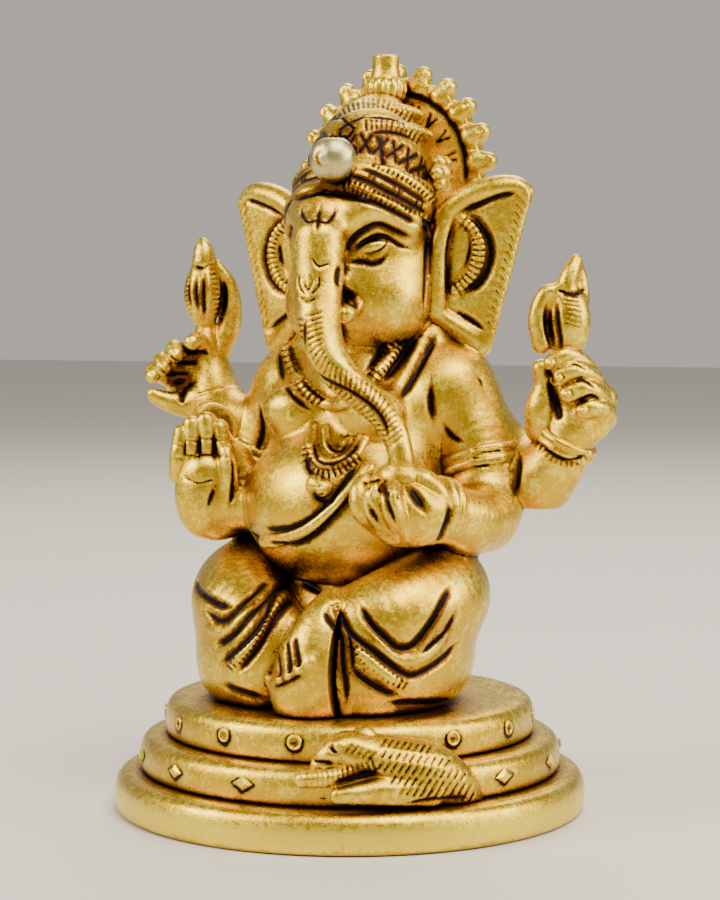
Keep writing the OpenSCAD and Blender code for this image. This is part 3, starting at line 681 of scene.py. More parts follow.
lay("sash", [(3.0, 56.7), (0.4, 53.2), (-2.7, 50.0), (-5.4, 47.6), (-8.1, 45.9), (-11.1, 44.9),
             (-14.1, 44.4)], torso, 1.25)
lay("necklace", [(-11.0, 78.5), (-10.0, 74.5), (-8.0, 70.8), (-4.7, 67.8), (-1.3, 67.3),
                 (1.7, 68.9), (4.7, 72.3), (8.4, 76.5), (12.6, 81.2)], torso, 1.2)
lay("pendant", [(-6.2, 63.4), (-6.5, 60.4), (-5.4, 58.0), (-2.7, 57.2), (0.4, 58.7), (2.2, 61.4)],
    torso, 1.15)
lay("pendant", [(-4.0, 63.1), (-3.7, 60.4), (-1.7, 59.2), (0.4, 61.4)], torso, 0.8)
lay("pendant", [(-5.7, 54.0), (-4.4, 53.2)], torso, 1.7)


def wrap(node, centre, along, radius, wire, rows=2, gap=0.0, melt=0.25):
    """Rings of wire around a limb, side by side along it."""
    lump = LUMPS.get(node) or Lump(node, melt)
    along = np.array(along, float) / np.linalg.norm(along)
    side = np.cross(along, [0.3, 0.2, 0.9])
    side /= np.linalg.norm(side)
    other = np.cross(along, side)
    for row in range(rows):
        shift = along * (row - (rows - 1) / 2) * (wire * 1.7 + gap)
        ring = [(*(np.array(centre) + shift + radius * (math.cos(t) * side + math.sin(t) * other)),
                 wire)
                for t in np.linspace(0, 2 * math.pi, 25)]
        lump.bar(ring, 0.2, 2)
    return lump


wrap("left_armlet", (20.8, 7.6, 57.6), (3.3, -1.8, -10), 6.3, 1.0, 2)
wrap("right_armlet", (-20.8, 7.6, 57.6), (-3.3, -1.8, -10), 6.3, 1.0, 2)
wrap("open_hand_bangle", (20.8, -8.6, 51.3), (-1.8, -3.4, 0.8), 4.6, 0.8, 2)
wrap("rear_right_bangle", seen(-22.3, 68.4, 20), (-0.45, 0.2, 1.6), 4.35, 0.5, 2)
wrap("rear_left_bangle", seen(36.2, 60.9, -8.8), (1.0, 0, 1.9), 4.6, 0.75, 2)

# %% [markdown]
# ## The mouse
# The mouse lies along the front of the base with its nose to the figure's right. Its body is a
# bent bar with a hump, and its legs and ear are small lumps on it.

# %% Mouse
mouse = Lump("mouse", 0.8)
mouse.draw([(-5.4, 6.5, -35, 1.2), (-3.4, 7.9, -35, 2.2), (-0.8, 8.9, -34.5, 3),
            (2.5, 7.7, -34, 3.8), (7.6, 6.2, -33, 4.6), (12.7, 5.1, -31.5, 4.9),
            (16.9, 3.1, -29.5, 4), (20.0, 1.0, -27.5, 2.4)], 1.2)
mouse.draw([(-8.1, 3.9, -37.5, 1.3), (-4.2, 4.1, -37.5, 1.45), (0.0, 4.8, -36.5, 1.7),
            (4.7, 6.2, -35, 2)], 0.6)
mouse.draw([(-2.0, 1.2, -38.5, 1.3), (1.7, 1.5, -38, 1.7), (6.8, 2.1, -36.5, 2.4),
            (13.5, 2.1, -34, 2.6)], 0.8)
ear_lump = Lump("mouse_ear", 0.3)
ear_lump.add(ball(seen(2.4, 11.1, -33.5), (2.1, 1.6, 1.9)))
print(len(LUMPS), "lumps made")

# %% [markdown]
# ## Melting the lumps together
# The lumps are joined in one grid with a soft minimum. The base is there too, as three plain
# discs, only so that the shading of hollows knows about it.

# %% One block of clay
clay = np.full(tuple(COUNT), FAR, np.float32)
for lump in LUMPS.values():
    clay[lump.cells] = soft_min(clay[lump.cells], lump.field, lump.melt)


STEPS = ("base_bottom_step", "base_middle_step", "base_top_step")


def step_outline(node, gap=0.25):
    """The turned side of a step, from its foot to its upper rim, as (radius, height)."""
    low, high = node_box(node)
    r, z0, z1 = high[0], low[2], high[2]
    turned = [(r - 1.1, z0), (r - 0.45, z0 + 0.25), (r - 0.1, z0 + 1.0), (r, z0 + 2.2),
              (r - 0.05, z1 - 2.6), (r - 0.45, z1 - 1.2), (r - 1.3, z1 - 0.35), (r - 2.6, z1)]
    return even_path([(a, b, 0.0) for a, b in turned], gap)[:, :2]


def base_field():
    """The three steps as distances, from their outlines turned round the axis."""
    cells, (x, y, z) = window((-45, -40, 5), (45, 41, SEAT + 4))
    far = np.arange(0, 62, CELL)
    table = np.full((len(far), z.shape[2]), FAR)
    for node in STEPS:
        low, high = node_box(node)
        side = np.vstack([[(0.0, low[2])], step_outline(node), [(0.0, high[2])]])
        r, h = far[:, None], z[0]
        edge, inside = np.full(table.shape, FAR * 9), np.zeros(table.shape, bool)
        for a, b in zip(side[:-1], side[1:]):
            e = b - a
            k = np.clip(((r - a[0]) * e[0] + (h - a[1]) * e[1]) / (e @ e), 0, 1)
            edge = np.minimum(edge, np.hypot(r - a[0] - e[0] * k, h - a[1] - e[1] * k))
            if abs(e[1]) > 1e-9:
                inside ^= ((a[1] > h) != (b[1] > h)) & (r < e[0] * (h - a[1]) / e[1] + a[0])
        table = np.minimum(table, np.where(inside, -edge, edge))
    near = np.hypot(x, y)[:, :, 0] / CELL
    i = np.clip(near.astype(int), 0, len(far) - 2)
    t = (near - i)[:, :, None]
    return cells, (table[i] * (1 - t) + table[i + 1] * t).astype(np.float32)


BASE_CELLS, BASE = base_field()


# %% [markdown]
# ## Cutting the lines
# A line cut pushes the surface in along a path, deepest in the middle, with a soft edge like
# a graver leaves. A raised line is the same push outwards.

# %% The graver
carved = np.zeros(tuple(COUNT), np.float32)
uncut = clay.copy()
stained = np.zeros_like(clay)
grimy = np.zeros_like(clay)
TAPER = 3.0
FINE_CUT = 0.45


def near_path(points, reach, taper=True):
    """Distance to a path of points in a window wide enough for the cut; long paths taper."""
    p = np.array(points, np.float32)[:, :3]
    cells, xyz = window(p.min(0) - reach, p.max(0) + reach)
    run = np.concatenate([[0], np.cumsum(np.linalg.norm(np.diff(p, axis=0), axis=1))])
    thin = np.zeros(len(p))
    if taper and run[-1] > 2 * TAPER:
        to_end = np.minimum(run, run[-1] - run)
        thin = -0.5 * reach * np.clip(1 - to_end / TAPER, 0, 1) ** 1.5
    return cells, rods(np.column_stack([p, thin]), cells, xyz, reach)


def to_surface(points, deepest=3.2):
    """Brings buried points out to the melted surface along their sight lines, in unbroken runs."""
    p = np.asarray(points, float)
    whole = tuple(slice(0, int(c)) for c in COUNT)
    way = EYE - p
    way /= np.linalg.norm(way, axis=1)[:, None]
    steps = np.arange(-0.8, deepest, 0.2)
    d = sample(uncut, whole, p[:, None, :] + way[:, None, :] * steps[None, :, None])
    runs = [[]]
    for k in range(len(p)):
        out = np.nonzero(d[k] > 0)[0]
        if len(out) == 0:
            runs.append([])
            continue
        j = out[0]
        t = d[k, j] / max(d[k, j] - d[k, j - 1], 1e-6) if j > 0 else 0.0
        place = p[k] + way[k] * (steps[j] - 0.2 * t)
        if runs[-1] and np.linalg.norm(place - runs[-1][-1]) > 2.5:
            runs.append([])
        runs[-1].append(place)
    return [np.array(run) for run in runs if len(run) > 1]


def engrave(points, width, depth):
    """A cut of this width and depth along a path; a negative depth raises a line."""
    if len(points) < 2:
        return
    cells, d = near_path(points, max(width * 1.6, 0.9) + CELL)
    push = depth * np.exp(-((d / (width * 0.6)) ** 2)).astype(np.float32)
    beside = np.sqrt(np.maximum(d * np.abs(d) - uncut[cells] ** 2, 0))
    if depth > 0:
        push = np.maximum(push - np.maximum(carved[cells], 0) * 0.6, 0)
        spread = width * 0.55 + 0.08 if width > FINE_CUT else width * 0.50 + 0.05
        dirt = min(1.0, 0.55 + depth) * np.exp(-((beside / spread) ** 2))
    else:
        dirt = 0.42 * np.exp(-(((beside - width * 0.85) / (width * 0.3 + 0.12)) ** 2))
    stained[cells] = np.maximum(stained[cells], dirt)
    if depth > 0:
        grimy[cells] = np.maximum(grimy[cells], dirt * (1.0 if width > FINE_CUT else 0.35))
    clay[cells] += push
    carved[cells] += push


# %% Lines with ribs and mirrored lines
MIRROR = np.array([-1.0, 1.0, 1.0])


def engrave_runs(runs, width, depth, both):
    """Cuts every run, and its mirror image too where both is set."""
    for run in runs:
        engrave(run, width, depth)
        if both:
            engrave(run * MIRROR, width, depth)


def cut_lines(node, cuts, both=False, board=None):
    """Cuts lines in a lump, each given as (width, depth, board point, board point, ...)."""
    for width, depth, *points in cuts:
        path = drawn(points, LUMPS[node], 0.4, board)
        engrave_runs([path] if board else to_surface(path), width, depth, both)
    print(len(cuts), "lines cut in", node)


def cut_ribs(points, node, length, gap, width=0.35, depth=0.28, slant=0.0, both=False, board=None):
    """Short cuts across a board line, an even gap apart, as on a rope or a hatched edge."""
    flat = even_path(np.array([[p[0], p[1], 0.0] for p in points]), gap)[:, :2]
    way = np.gradient(flat, axis=0)
    way /= np.maximum(np.linalg.norm(way, axis=1), 1e-6)[:, None]
    side = np.stack([-way[:, 1], way[:, 0]], 1) + way * slant
    ends = np.concatenate([flat + side * length * t for t in (-0.5, -0.25, 0.0, 0.25, 0.5)])
    places, met = cast(ends, LUMPS[node], board=board)
    places, met = places.reshape(5, -1, 3), met.reshape(5, -1)
    for k in range(len(flat)):
        path = places[met[:, k], k]
        if len(path) > 1:
            engrave_runs([path] if board else to_surface(path), width, depth, both)


def ridge(points, node, width, height, both=False):
    """A raised roll along a line of the board."""
    engrave_runs(to_surface(drawn(points, LUMPS[node], 0.4)), width, -height, both)


def dot_at(spot, node):
    """The place on a lump that a board point falls on."""
    runs = to_surface(cast([spot[:2], spot[:2]], LUMPS[node])[0])
    return runs[0][0] if runs else cast([spot[:2]], LUMPS[node])[0][0]


def raise_dot(at, width, height):
    engrave([at, at + np.array([0, 0, 0.01])], width, -height)


def raise_ring(at, size, width, height):
    turned = [at + ACROSS * size * math.cos(t) + UP * size * math.sin(t)
              for t in np.linspace(0, 2 * math.pi, 17)]
    engrave(turned, width, height)


# %% [markdown]
# ## Lines of the lap
# The cloth over the legs falls in curved folds that meet at the front. The folds are deep
# cuts with soft ridges between, and the hems are rolls with short cuts across, like a braid.

# %% Folds and hems
right_hem = [(-11.4, 34.9), (-13.8, 31.7), (-16.7, 26.9), (-20.4, 23.0)]
left_hem = [(0.2, 26.9), (2.4, 24.9), (5.7, 22.0), (9.3, 19.8)]
ridge([(-8.1, 36.4), *right_hem], "right_leg", 1.7, 0.55)
ridge(left_hem, "left_leg", 1.7, 0.55)
cut_lines("hips", [
    (0.8, 0.7, (-18.5, 46.6), (-15.6, 44.0), (-11.4, 40.0), (-7.4, 37.3), (-2.7, 34.7)),
    (0.8, 0.7, (-2.7, 34.7), (0.9, 37.3), (5.7, 40.3), (9.1, 42.5), (12.6, 43.7)),
])
cut_lines("right_leg", [
    (0.9, 0.9, (-26.4, 39.3), (-25.4, 36.1), (-22.4, 33.9), (-19.4, 33.2)),
    (0.8, 0.8, (-13.5, 38.0), (-17.3, 34.6), (-21.4, 31.0), (-24.6, 32.7)),
    (0.9, 1.0, (-11.8, 36.6), (-15.7, 33.2), (-19.4, 29.0), (-23.1, 26.3)),
    (0.9, 1.0, (-8.1, 37.3), (-12.1, 36.3), (-14.8, 30.7), (-17.4, 27.6), (-22.3, 23.5)),
    (0.9, 1.0, (-6.9, 36.1), (-10.1, 34.2), (-12.5, 31.4), (-15.5, 26.3), (-19.4, 21.7)),
    (1.0, 0.8, (-21.8, 20.0), (-16.7, 18.3), (-8.1, 16.2)),
])
cut_lines("left_leg", [
    (1.0, 1.2, (1.5, 34.2), (3.4, 30.7), (6.1, 28.0), (8.1, 26.4), (10.8, 26.9), (14.3, 31.4),
     (17.4, 37.3)),
    (0.9, 1.1, (-1.2, 33.2), (-0.2, 29.3), (4.1, 25.6), (8.4, 22.4), (11.0, 21.7), (15.4, 24.1),
     (18.6, 27.6)),
    (0.7, 0.7, (18.4, 33.6), (16.0, 29.0), (11.3, 24.6)),
    (0.9, 1.0, (0.2, 24.6), (1.2, 22.0), (5.1, 19.3), (9.1, 17.9)),
    (1.0, 0.7, (5.7, 16.9), (16.1, 17.2), (22.3, 20.0)),
])
cut_lines("waist_cloth", [
    (0.7, 0.9, (-3.5, 34.2), (-3.9, 31.7), (-1.5, 28.3), (-1.2, 24.1), (-0.5, 18.6), (-0.7, 16.1)),
    (0.5, 0.6, (-2.2, 33.9), (-0.7, 30.2), (0.3, 25.9), (0.5, 20.8)),
])
cut_ribs([(-8.4, 36.3), *right_hem], "right_leg", 1.5, 0.9, 0.36, 0.4)
cut_ribs(left_hem, "left_leg", 1.5, 1.0, 0.36, 0.4)
cut_ribs([(-2.5, 33.9), (-1.7, 31.4), (-1.5, 29.0)], "waist_cloth", 1.2, 0.6, 0.35, 0.35)
ridge([(-24.4, 29.7), (-21.1, 29.0), (-18.5, 31.4), (-14.8, 34.4)], "right_leg", 1.2, 0.3)
ridge([(3.7, 29.0), (8.1, 24.2), (13.5, 25.6), (17.2, 30.7)], "left_leg", 1.4, 0.35)

# %% Toes
cut_lines("right_foot", [
    (0.62, 0.9, (-14.0, 25.6), (-13.7, 21.3)),
    (0.62, 0.9, (-12.2, 25.9), (-11.8, 21.8)),
    (0.62, 0.9, (-10.7, 26.9), (-10.1, 22.4)),
    (0.62, 0.9, (-9.3, 27.5), (-8.6, 23.5)),
    (0.5, 0.35, (-15.5, 22.9), (-14.7, 20.5), (-12.7, 19.8), (-10.1, 20.7), (-7.8, 22.2),
     (-6.1, 23.5)),
])
for toe in [(-13.5, 20.5), (-11.9, 20.8), (-10.3, 21.6), (-8.6, 22.5), (-6.8, 23.7)]:
    raise_dot(dot_at(toe, "right_foot"), 1.55, 0.75)

# %% [markdown]
# ## The back
# The back of a cast figure is plainer. It has the strap that comes over the shoulder, the band
# of the waist cloth with its folds, a few curves of hair and a plain flower on the halo. These
# lines are drawn on a second board that faces the back.

# %% Lines of the back
BACK = board_axes(math.pi)
cut_lines("torso", [
    (0.8, 0.8, (14, 77), (15.5, 70), (14.5, 63), (11.5, 57)),
], both=True, board=BACK)
cut_lines("head", [
    (0.6, 0.55, (-8.5, 90), (-6, 85), (0, 83), (6, 85), (8.5, 90)),
    (0.6, 0.5, (-5.5, 90), (-4, 87), (0, 85.6), (4, 87), (5.5, 90)),
], board=BACK)
cut_lines("torso", [
    (0.6, 0.5, (-9, 50), (-4, 48.2), (4, 48.2), (9, 50)),
    (0.7, 0.6, (-11, 80.5), (-6, 78.6), (0, 78), (6, 78.6), (11, 80.5)),
    (0.7, 0.7, (-13, 73), (-6, 64), (2, 54), (9, 46)),
    (0.7, 0.7, (-10.5, 75), (-3.5, 66), (4.5, 56), (11.5, 47.5)),
], board=BACK)
cut_lines("hips", [
    (0.9, 0.8, (-17.5, 39.5), (-9, 37.2), (0, 36.6), (9, 37.2), (17.5, 39.5)),
    (0.8, 0.7, (-17.8, 36.5), (-9, 34.4), (0, 33.8), (9, 34.4), (17.8, 36.5)),
    (0.8, 0.7, (-0.5, 33), (-1.5, 27), (-4, 21)),
    (0.8, 0.7, (1.2, 33), (1.8, 27), (4.5, 21)),
], board=BACK)
cut_lines("hips", [
    (0.9, 0.8, (3, 33), (6, 28), (11, 23.5), (16, 21.5)),
    (0.8, 0.7, (8, 33.6), (13, 29), (18, 27)),
], both=True, board=BACK)
cut_ribs([(-17.8, 38), (-9, 35.8), (0, 35.2), (9, 35.8), (17.8, 38)], "hips", 1.6, 0.9, board=BACK)


def round_hub(radius, half_turn, count):
    return [(radius * math.sin(t), HUB + radius * math.cos(t))
            for t in np.linspace(-half_turn, half_turn, count)]


cut_lines("halo", [(0.6, 0.5, *round_hub(15.2, 2.2, 45)),
                   (0.6, 0.5, *round_hub(8.5, math.pi, 49))], board=BACK)
cut_ribs(round_hub(11.8, 2.4, 60), "halo", 4.2, 2.6, 0.5, 0.45, board=BACK)

# %% [markdown]
# ## Lines of the chest
# A ribbed necklace and a plain strap run under the chin, a sash crosses the belly, and a
# pendant with a ring hangs at the middle. Black lines on both sides make each stand out.

# %% Chest
collar = [(9.7, 79.8), (6.9, 76.1), (4.0, 72.1)]
ridge(collar, "torso", 2.2, 0.5)
ridge([(13.4, 79.8), (10.2, 74.5), (7.2, 68.9)], "torso", 1.4, 0.6)
cut_lines("torso", [
    (0.7, 0.8, (8.0, 80.5), (5.2, 76.5), (2.4, 72.8)),
    (0.8, 0.9, (11.6, 79.8), (8.6, 75.5), (5.7, 71.1)),
    (0.8, 0.9, (14.7, 79.3), (11.6, 73.6), (8.6, 68.1)),
    (0.7, 0.7, (-12.2, 81.2), (-11.9, 76.1), (-11.0, 71.1), (-8.4, 67.8), (-5.7, 65.8)),
    (0.6, 0.6, (-10.0, 78.5), (-9.4, 74.5), (-7.3, 70.8), (-4.7, 68.4)),
])
cut_lines("pendant", [
    (0.6, 0.6, (-6.0, 62.4), (-5.4, 58.2), (-2.7, 57.5), (0.5, 59.6), (2.2, 62.4)),
    (0.7, 0.6, (-4.0, 62.7), (-3.2, 60.2), (-1.3, 59.7), (0.0, 62.1)),
])
cut_lines("torso", [
    (0.7, 0.6, (-7.4, 60.4), (-7.0, 56.9), (-5.4, 55.3)),
    (0.8, 0.7, (-6.5, 54.3), (-5.5, 51.8), (-3.3, 51.1), (-2.0, 53.0)),
    (0.8, 0.9, (2.7, 55.0), (-2.3, 48.9), (-7.7, 44.4), (-13.4, 44.0), (-16.1, 45.2)),
    (0.7, 0.7, (1.7, 58.0), (-3.3, 51.3), (-8.4, 47.3), (-12.6, 46.4), (-14.8, 47.1)),
])
cut_lines("front_left_arm", [
    (0.9, 0.9, (13.7, 72.0), (13.6, 68.1), (14.1, 63.8)),
    (0.7, 0.5, (15.1, 64.8), (17.1, 62.1), (20.1, 60.7)),
    (0.5, 0.25, (20.1, 73.8), (21.8, 71.5), (22.8, 68.4)),
])
cut_lines("rear_left_arm", [
    (0.8, 0.8, (28.4, 59.7), (28.1, 54.7), (27.2, 48.9)),
])
cut_lines("front_right_arm", [
    (0.8, 0.7, (-15.4, 68.1), (-14.7, 63.1), (-15.8, 58.4)),
])
cut_ribs(collar, "torso", 2.0, 0.85, 0.45, 0.4)
cut_ribs([(-11.0, 78.5), (-10.0, 74.5), (-8.0, 70.8), (-5.0, 67.8)], "necklace", 2.2, 0.95, 0.4,
         0.4)
cut_ribs([(-7.4, 60.1), (-6.7, 57.0), (-4.7, 55.7), (-1.7, 56.4), (1.4, 58.7)], "torso", 1.4, 0.95,
         0.38, 0.36)
for spot, size, up_by in (((-5.2, 53.0), 1.7, 0.55), ((-0.8, 61.2), 1.5, 0.5),
                          ((-10.0, 65.1), 1.1, 0.4)):
    raise_dot(dot_at(spot, "torso"), size, up_by)
raise_ring(dot_at((-5.2, 53.0), "torso"), 0.75, 0.4, 0.45)

# %% [markdown]
# ## Lines of the head
# The eyes are narrow almonds with two lids, and short marks are cut in the brow. The trunk
# has a line down its middle with slanting ribs on both sides.

# %% Eyes, brow marks and trunk
cut_lines("head", [
    (0.7, 0.7, (14.5, 104.8), (13.5, 99.0), (12.9, 93.2), (12.6, 87.3), (12.4, 82.8)),
    (0.8, 0.8, (-1.5, 90.5), (-1.7, 87.2), (-0.5, 84.8), (1.2, 83.8)),
    (1.5, 1.0, (-1.0, 81.8), (-1.5, 79.5), (-0.6, 77.3)),
    (0.7, 0.7, (-2.0, 91.2), (-0.6, 89.5), (-1.1, 91.8)),
])
ridge([(-0.1, 92.8), (1.0, 94.7), (2.7, 95.8), (4.7, 96.5), (6.9, 95.5)], "head", 1.1, 0.35,
      both=True)
cut_lines("head", [
    (0.75, 0.8, (-1.5, 91.3), (-0.6, 93.2), (0.3, 94.6), (1.7, 96.0), (4.6, 97.4), (7.5, 96.3),
     (10.9, 94.9)),
    (0.55, 0.6, (0.3, 92.4), (2.1, 94.2), (4.6, 95.4), (6.4, 95.1), (8.2, 94.0), (10.9, 93.1)),
    (0.75, 0.75, (-1.2, 90.9), (1.7, 91.3), (3.9, 90.9), (5.7, 91.8), (6.6, 93.5)),
    (0.4, 0.4, (1.3, 93.1), (3.2, 94.6), (5.3, 95.1), (6.2, 94.6), (5.3, 93.3), (3.2, 92.6),
     (1.3, 93.1)),
    (0.9, 0.9, (-1.2, 90.9), (-2.0, 88.8), (-1.5, 86.6), (0.3, 85.5), (1.3, 84.1)),
    (0.9, 0.9, (-9.5, 101.7), (-4.8, 102.8), (-1.2, 102.5), (3.9, 101.2), (8.2, 99.2),
     (12.6, 96.9)),
], both=True)
cut_lines("head", [
    (0.5, 0.42, (-7.8, 101.4), (-8.1, 99.5), (-7.1, 97.9), (-5.6, 98.2), (-3.6, 97.9), (-2.4, 99.5),
     (-2.7, 101.4)),
    (0.5, 0.5, (-4.8, 101.4), (-5.3, 97.8), (-5.9, 94.7)),
])
cut_lines("trunk", [
    (0.45, 0.4, (-6.2, 91.8), (-5.3, 90.5), (-3.6, 90.9)),
    (0.42, 0.4, (-7.0, 90.2), (-7.7, 88.3), (-7.0, 86.5), (-6.2, 88.3), (-7.0, 90.2)),
    (0.42, 0.4, (-7.7, 86.0), (-8.6, 87.2), (-8.6, 88.7)),
    (0.42, 0.4, (-6.3, 86.0), (-5.2, 87.2), (-5.1, 88.7)),
    (0.42, 0.4, (-8.2, 85.2), (-7.0, 84.7), (-5.7, 85.2)),
    (0.6, 0.65, (-7.3, 82.7), (-7.7, 79.8), (-7.5, 76.5), (-6.3, 73.5), (-4.0, 71.5), (0.1, 69.6),
     (3.5, 67.3), (5.5, 64.9), (6.9, 60.7)),
])
cut_lines("left_tusk", [
    (0.4, 0.4, (-0.6, 83.8), (-0.5, 81.8)),
])
cut_ribs([(-6.0, 82.5), (-6.1, 79.8), (-5.7, 76.8), (-4.5, 74.5), (-2.5, 72.6), (1.2, 70.8),
          (4.4, 68.4), (6.4, 65.9), (7.9, 61.4)], "trunk", 2.5, 0.95, 0.36, 0.36, -0.35)
cut_ribs([(-8.7, 81.8), (-8.8, 79.2), (-8.7, 75.8), (-7.5, 72.8), (-4.8, 70.5), (-0.8, 68.4),
          (2.4, 66.3), (4.5, 63.8), (5.9, 60.4)], "trunk", 1.6, 0.95, 0.36, 0.34, 0.35)

# %% Ears
cut_lines("left_ear", [
    (0.7, 0.9, (17.6, 98.9), (21.6, 100.7), (25.2, 102.1), (29.2, 102.8)),
    (0.8, 1.0, (14.2, 98.1), (13.1, 93.8), (12.7, 89.1), (12.6, 83.0)),
    (0.8, 1.0, (17.6, 98.5), (16.5, 93.8), (16.2, 89.1), (16.2, 84.5)),
    (1.1, 1.1, (18.7, 99.2), (21.2, 98.1), (23.2, 94.9), (23.4, 91.3), (21.6, 87.7), (18.0, 85.5)),
    (0.5, 0.4, (19.4, 96.5), (19.9, 93.8), (19.4, 91.2), (18.1, 89.2)),
    (0.7, 0.8, (16.6, 83.7), (20.1, 81.5), (23.8, 79.0)),
    (0.8, 0.8, (12.8, 81.2), (16.7, 78.5), (20.9, 75.7)),
], both=True)
cut_ribs([(19.0, 98.0), (20.7, 96.6), (21.6, 93.8), (21.1, 90.5), (19.6, 88.0), (17.9, 86.7)],
         "left_ear", 2.4, 1.0, 0.4, 0.4, both=True)
cut_ribs([(29.0, 101.1), (27.9, 95.6), (26.4, 89.8), (24.9, 84.0), (23.9, 80.2)], "left_ear", 2.2,
         1.35, 0.42, 0.4, 0.8, both=True)

# %% Crown
ridge([(-1.6, 103.8), (0.8, 103.7), (5.3, 101.7), (8.9, 99.9), (13.7, 97.4)], "crown_band", 1.7,
      0.45, both=True)
ridge([(-8.3, 103.1), (-5.3, 104.1), (-3.3, 104.1)], "crown_band", 1.7, 0.4)
ridge([(0.4, 109.4), (2.4, 108.6), (6.4, 106.8), (10.7, 104.6), (14.4, 101.4)], "crown_band", 1.4,
      0.45, both=True)
cut_lines("crown_band", [
    (0.6, 0.65, (0.4, 107.1), (3.2, 106.4), (7.0, 104.6), (10.7, 102.5), (13.4, 100.5)),
    (0.6, 0.65, (-0.3, 105.6), (2.4, 104.8), (6.4, 102.9), (10.0, 101.0), (13.4, 99.0)),
    (0.4, 0.4, (3.5, 105.9), (3.0, 104.6)),
    (0.4, 0.4, (4.2, 105.6), (3.7, 104.3)),
    (0.4, 0.4, (7.7, 104.1), (7.2, 102.6)),
    (0.4, 0.4, (8.5, 103.6), (8.0, 102.1)),
    (0.4, 0.4, (11.5, 101.8), (11.0, 100.3)),
    (0.4, 0.4, (12.4, 101.3), (11.9, 99.8)),
], both=True)
cut_lines("crown_cap", [
    (0.6, 0.6, (2.0, 112.1), (5.0, 112.9), (8.3, 112.6), (11.3, 111.2)),
    (0.55, 0.5, (1.4, 115.0), (4.7, 115.2), (8.3, 114.5), (11.0, 113.0)),
    (0.55, 0.5, (-1.6, 113.4), (0.4, 114.5), (2.0, 115.2)),
    (0.6, 0.6, (0.4, 113.0), (-0.6, 111.4), (1.0, 110.2)),
    (0.6, 0.5, (-5.3, 111.4), (-6.1, 109.4), (-7.0, 106.4)),
], both=True)
cut_ribs([(-1.0, 103.8), (0.8, 103.7), (5.3, 101.7), (8.9, 99.9), (13.7, 97.4)], "crown_band", 1.7,
         0.86, 0.36, 0.4, both=True)
for lean in (0.6, -0.6):
    cut_ribs([(0.0, 110.9), (3.4, 110.9), (7.0, 109.9), (10.5, 107.9), (13.5, 104.8)], "crown_cap",
             2.9, 2.7, 0.5, 0.55, lean, both=True)
cut_ribs([(2.7, 114.0), (6.4, 114.0), (9.8, 112.9), (11.7, 111.6)], "crown_cap", 1.7, 0.86, 0.36,
         0.36)
cut_ribs([(-2.8, 115.7), (-0.5, 116.8), (2.4, 117.5), (6.7, 117.2), (10.2, 115.0)], "crown_cap",
         1.6, 0.86, 0.36, 0.36)
cut_ribs([(1.0, 109.1), (2.4, 108.6), (6.4, 106.8), (10.7, 104.6), (14.4, 101.4)], "crown_band",
         1.5, 0.86, 0.36, 0.4, both=True)
boss_ring = [(-4.5 + 1.15 * math.cos(t), 108.4 + 1.15 * math.sin(t))
             for t in np.linspace(0, 2 * math.pi, 19)]
cut_lines("crown_boss", [(0.5, 0.4, *boss_ring)])

# %% Halo lines
def on_halo(radius, turn):
    """A place on the front face of the halo plate."""
    return (HALO[0] + radius * math.cos(turn), HALO[1] - HALO_HALF, HUB + radius * math.sin(turn))


engrave([on_halo(HALO_R - 5.4, t) for t in np.linspace(-0.25, math.pi + 0.25, 60)], 0.7, 0.8)
for t in np.radians(np.linspace(12, 168, 9)):
    for lean in (-0.06, 0.06):
        engrave([on_halo(HALO_R - 9.5, t), on_halo(HALO_R - 7.0, t + lean)], 0.45, 0.4)

# %% [markdown]
# ## Lines of the hands
# Fingers are parted by dark cuts with light lines at the joints. Nails are small raised dots inside
# cut rings.

# %% Hands
cut_lines("raised_hand", [
    (0.5, 0.5, (-27.7, 63.4), (-27.8, 56.7)),
    (0.5, 0.5, (-25.2, 63.9), (-25.3, 56.7)),
    (0.5, 0.5, (-22.8, 64.1), (-22.7, 57.0)),
    (0.5, 0.5, (-22.1, 55.0), (-23.2, 52.1), (-24.4, 48.9)),
    (0.4, 0.35, (-27.5, 55.0), (-25.5, 54.2), (-23.2, 54.7)),
    (0.6, 0.6, (-19.8, 60.2), (-19.6, 56.4), (-19.8, 52.0), (-20.8, 49.3)),
])
cut_lines("open_hand", [
    (0.8, 0.9, (2.4, 52.1), (3.7, 49.1), (5.6, 46.1)),
    (0.8, 0.9, (5.4, 54.7), (6.4, 50.5), (8.3, 46.1)),
    (1.2, 1.2, (9.2, 54.7), (11.3, 51.8), (13.3, 48.3)),
    (1.0, 0.9, (16.3, 51.3), (16.8, 48.8), (15.3, 44.9)),
    (0.6, 0.6, (5.9, 56.4), (5.1, 55.0), (2.7, 54.3)),
])
cut_lines("front_left_arm", [
    (0.8, 0.8, (16.9, 49.6), (16.2, 47.3), (15.1, 44.6)),
])
cut_lines("raised_hand", [
    (0.35, 0.3, (-29.5, 60.7), (-28.0, 60.4)),
    (0.35, 0.3, (-27.5, 61.4), (-25.5, 61.2)),
    (0.35, 0.3, (-25.0, 61.7), (-23.0, 61.6)),
    (0.35, 0.3, (-22.5, 61.4), (-20.6, 61.1)),
    (0.35, 0.3, (-29.5, 58.5), (-28.0, 58.2)),
    (0.35, 0.3, (-27.5, 58.9), (-25.5, 58.7)),
    (0.35, 0.3, (-25.0, 59.0), (-23.0, 58.9)),
    (0.35, 0.3, (-22.5, 58.9), (-20.6, 58.5)),
])


def nail(spot, node, size=0.95, width=0.42, depth=0.4):
    """A raised dot inside a cut ring."""
    at = dot_at(spot, node)
    raise_ring(at, size, width, depth)
    raise_dot(at, size * 1.2, 0.35)


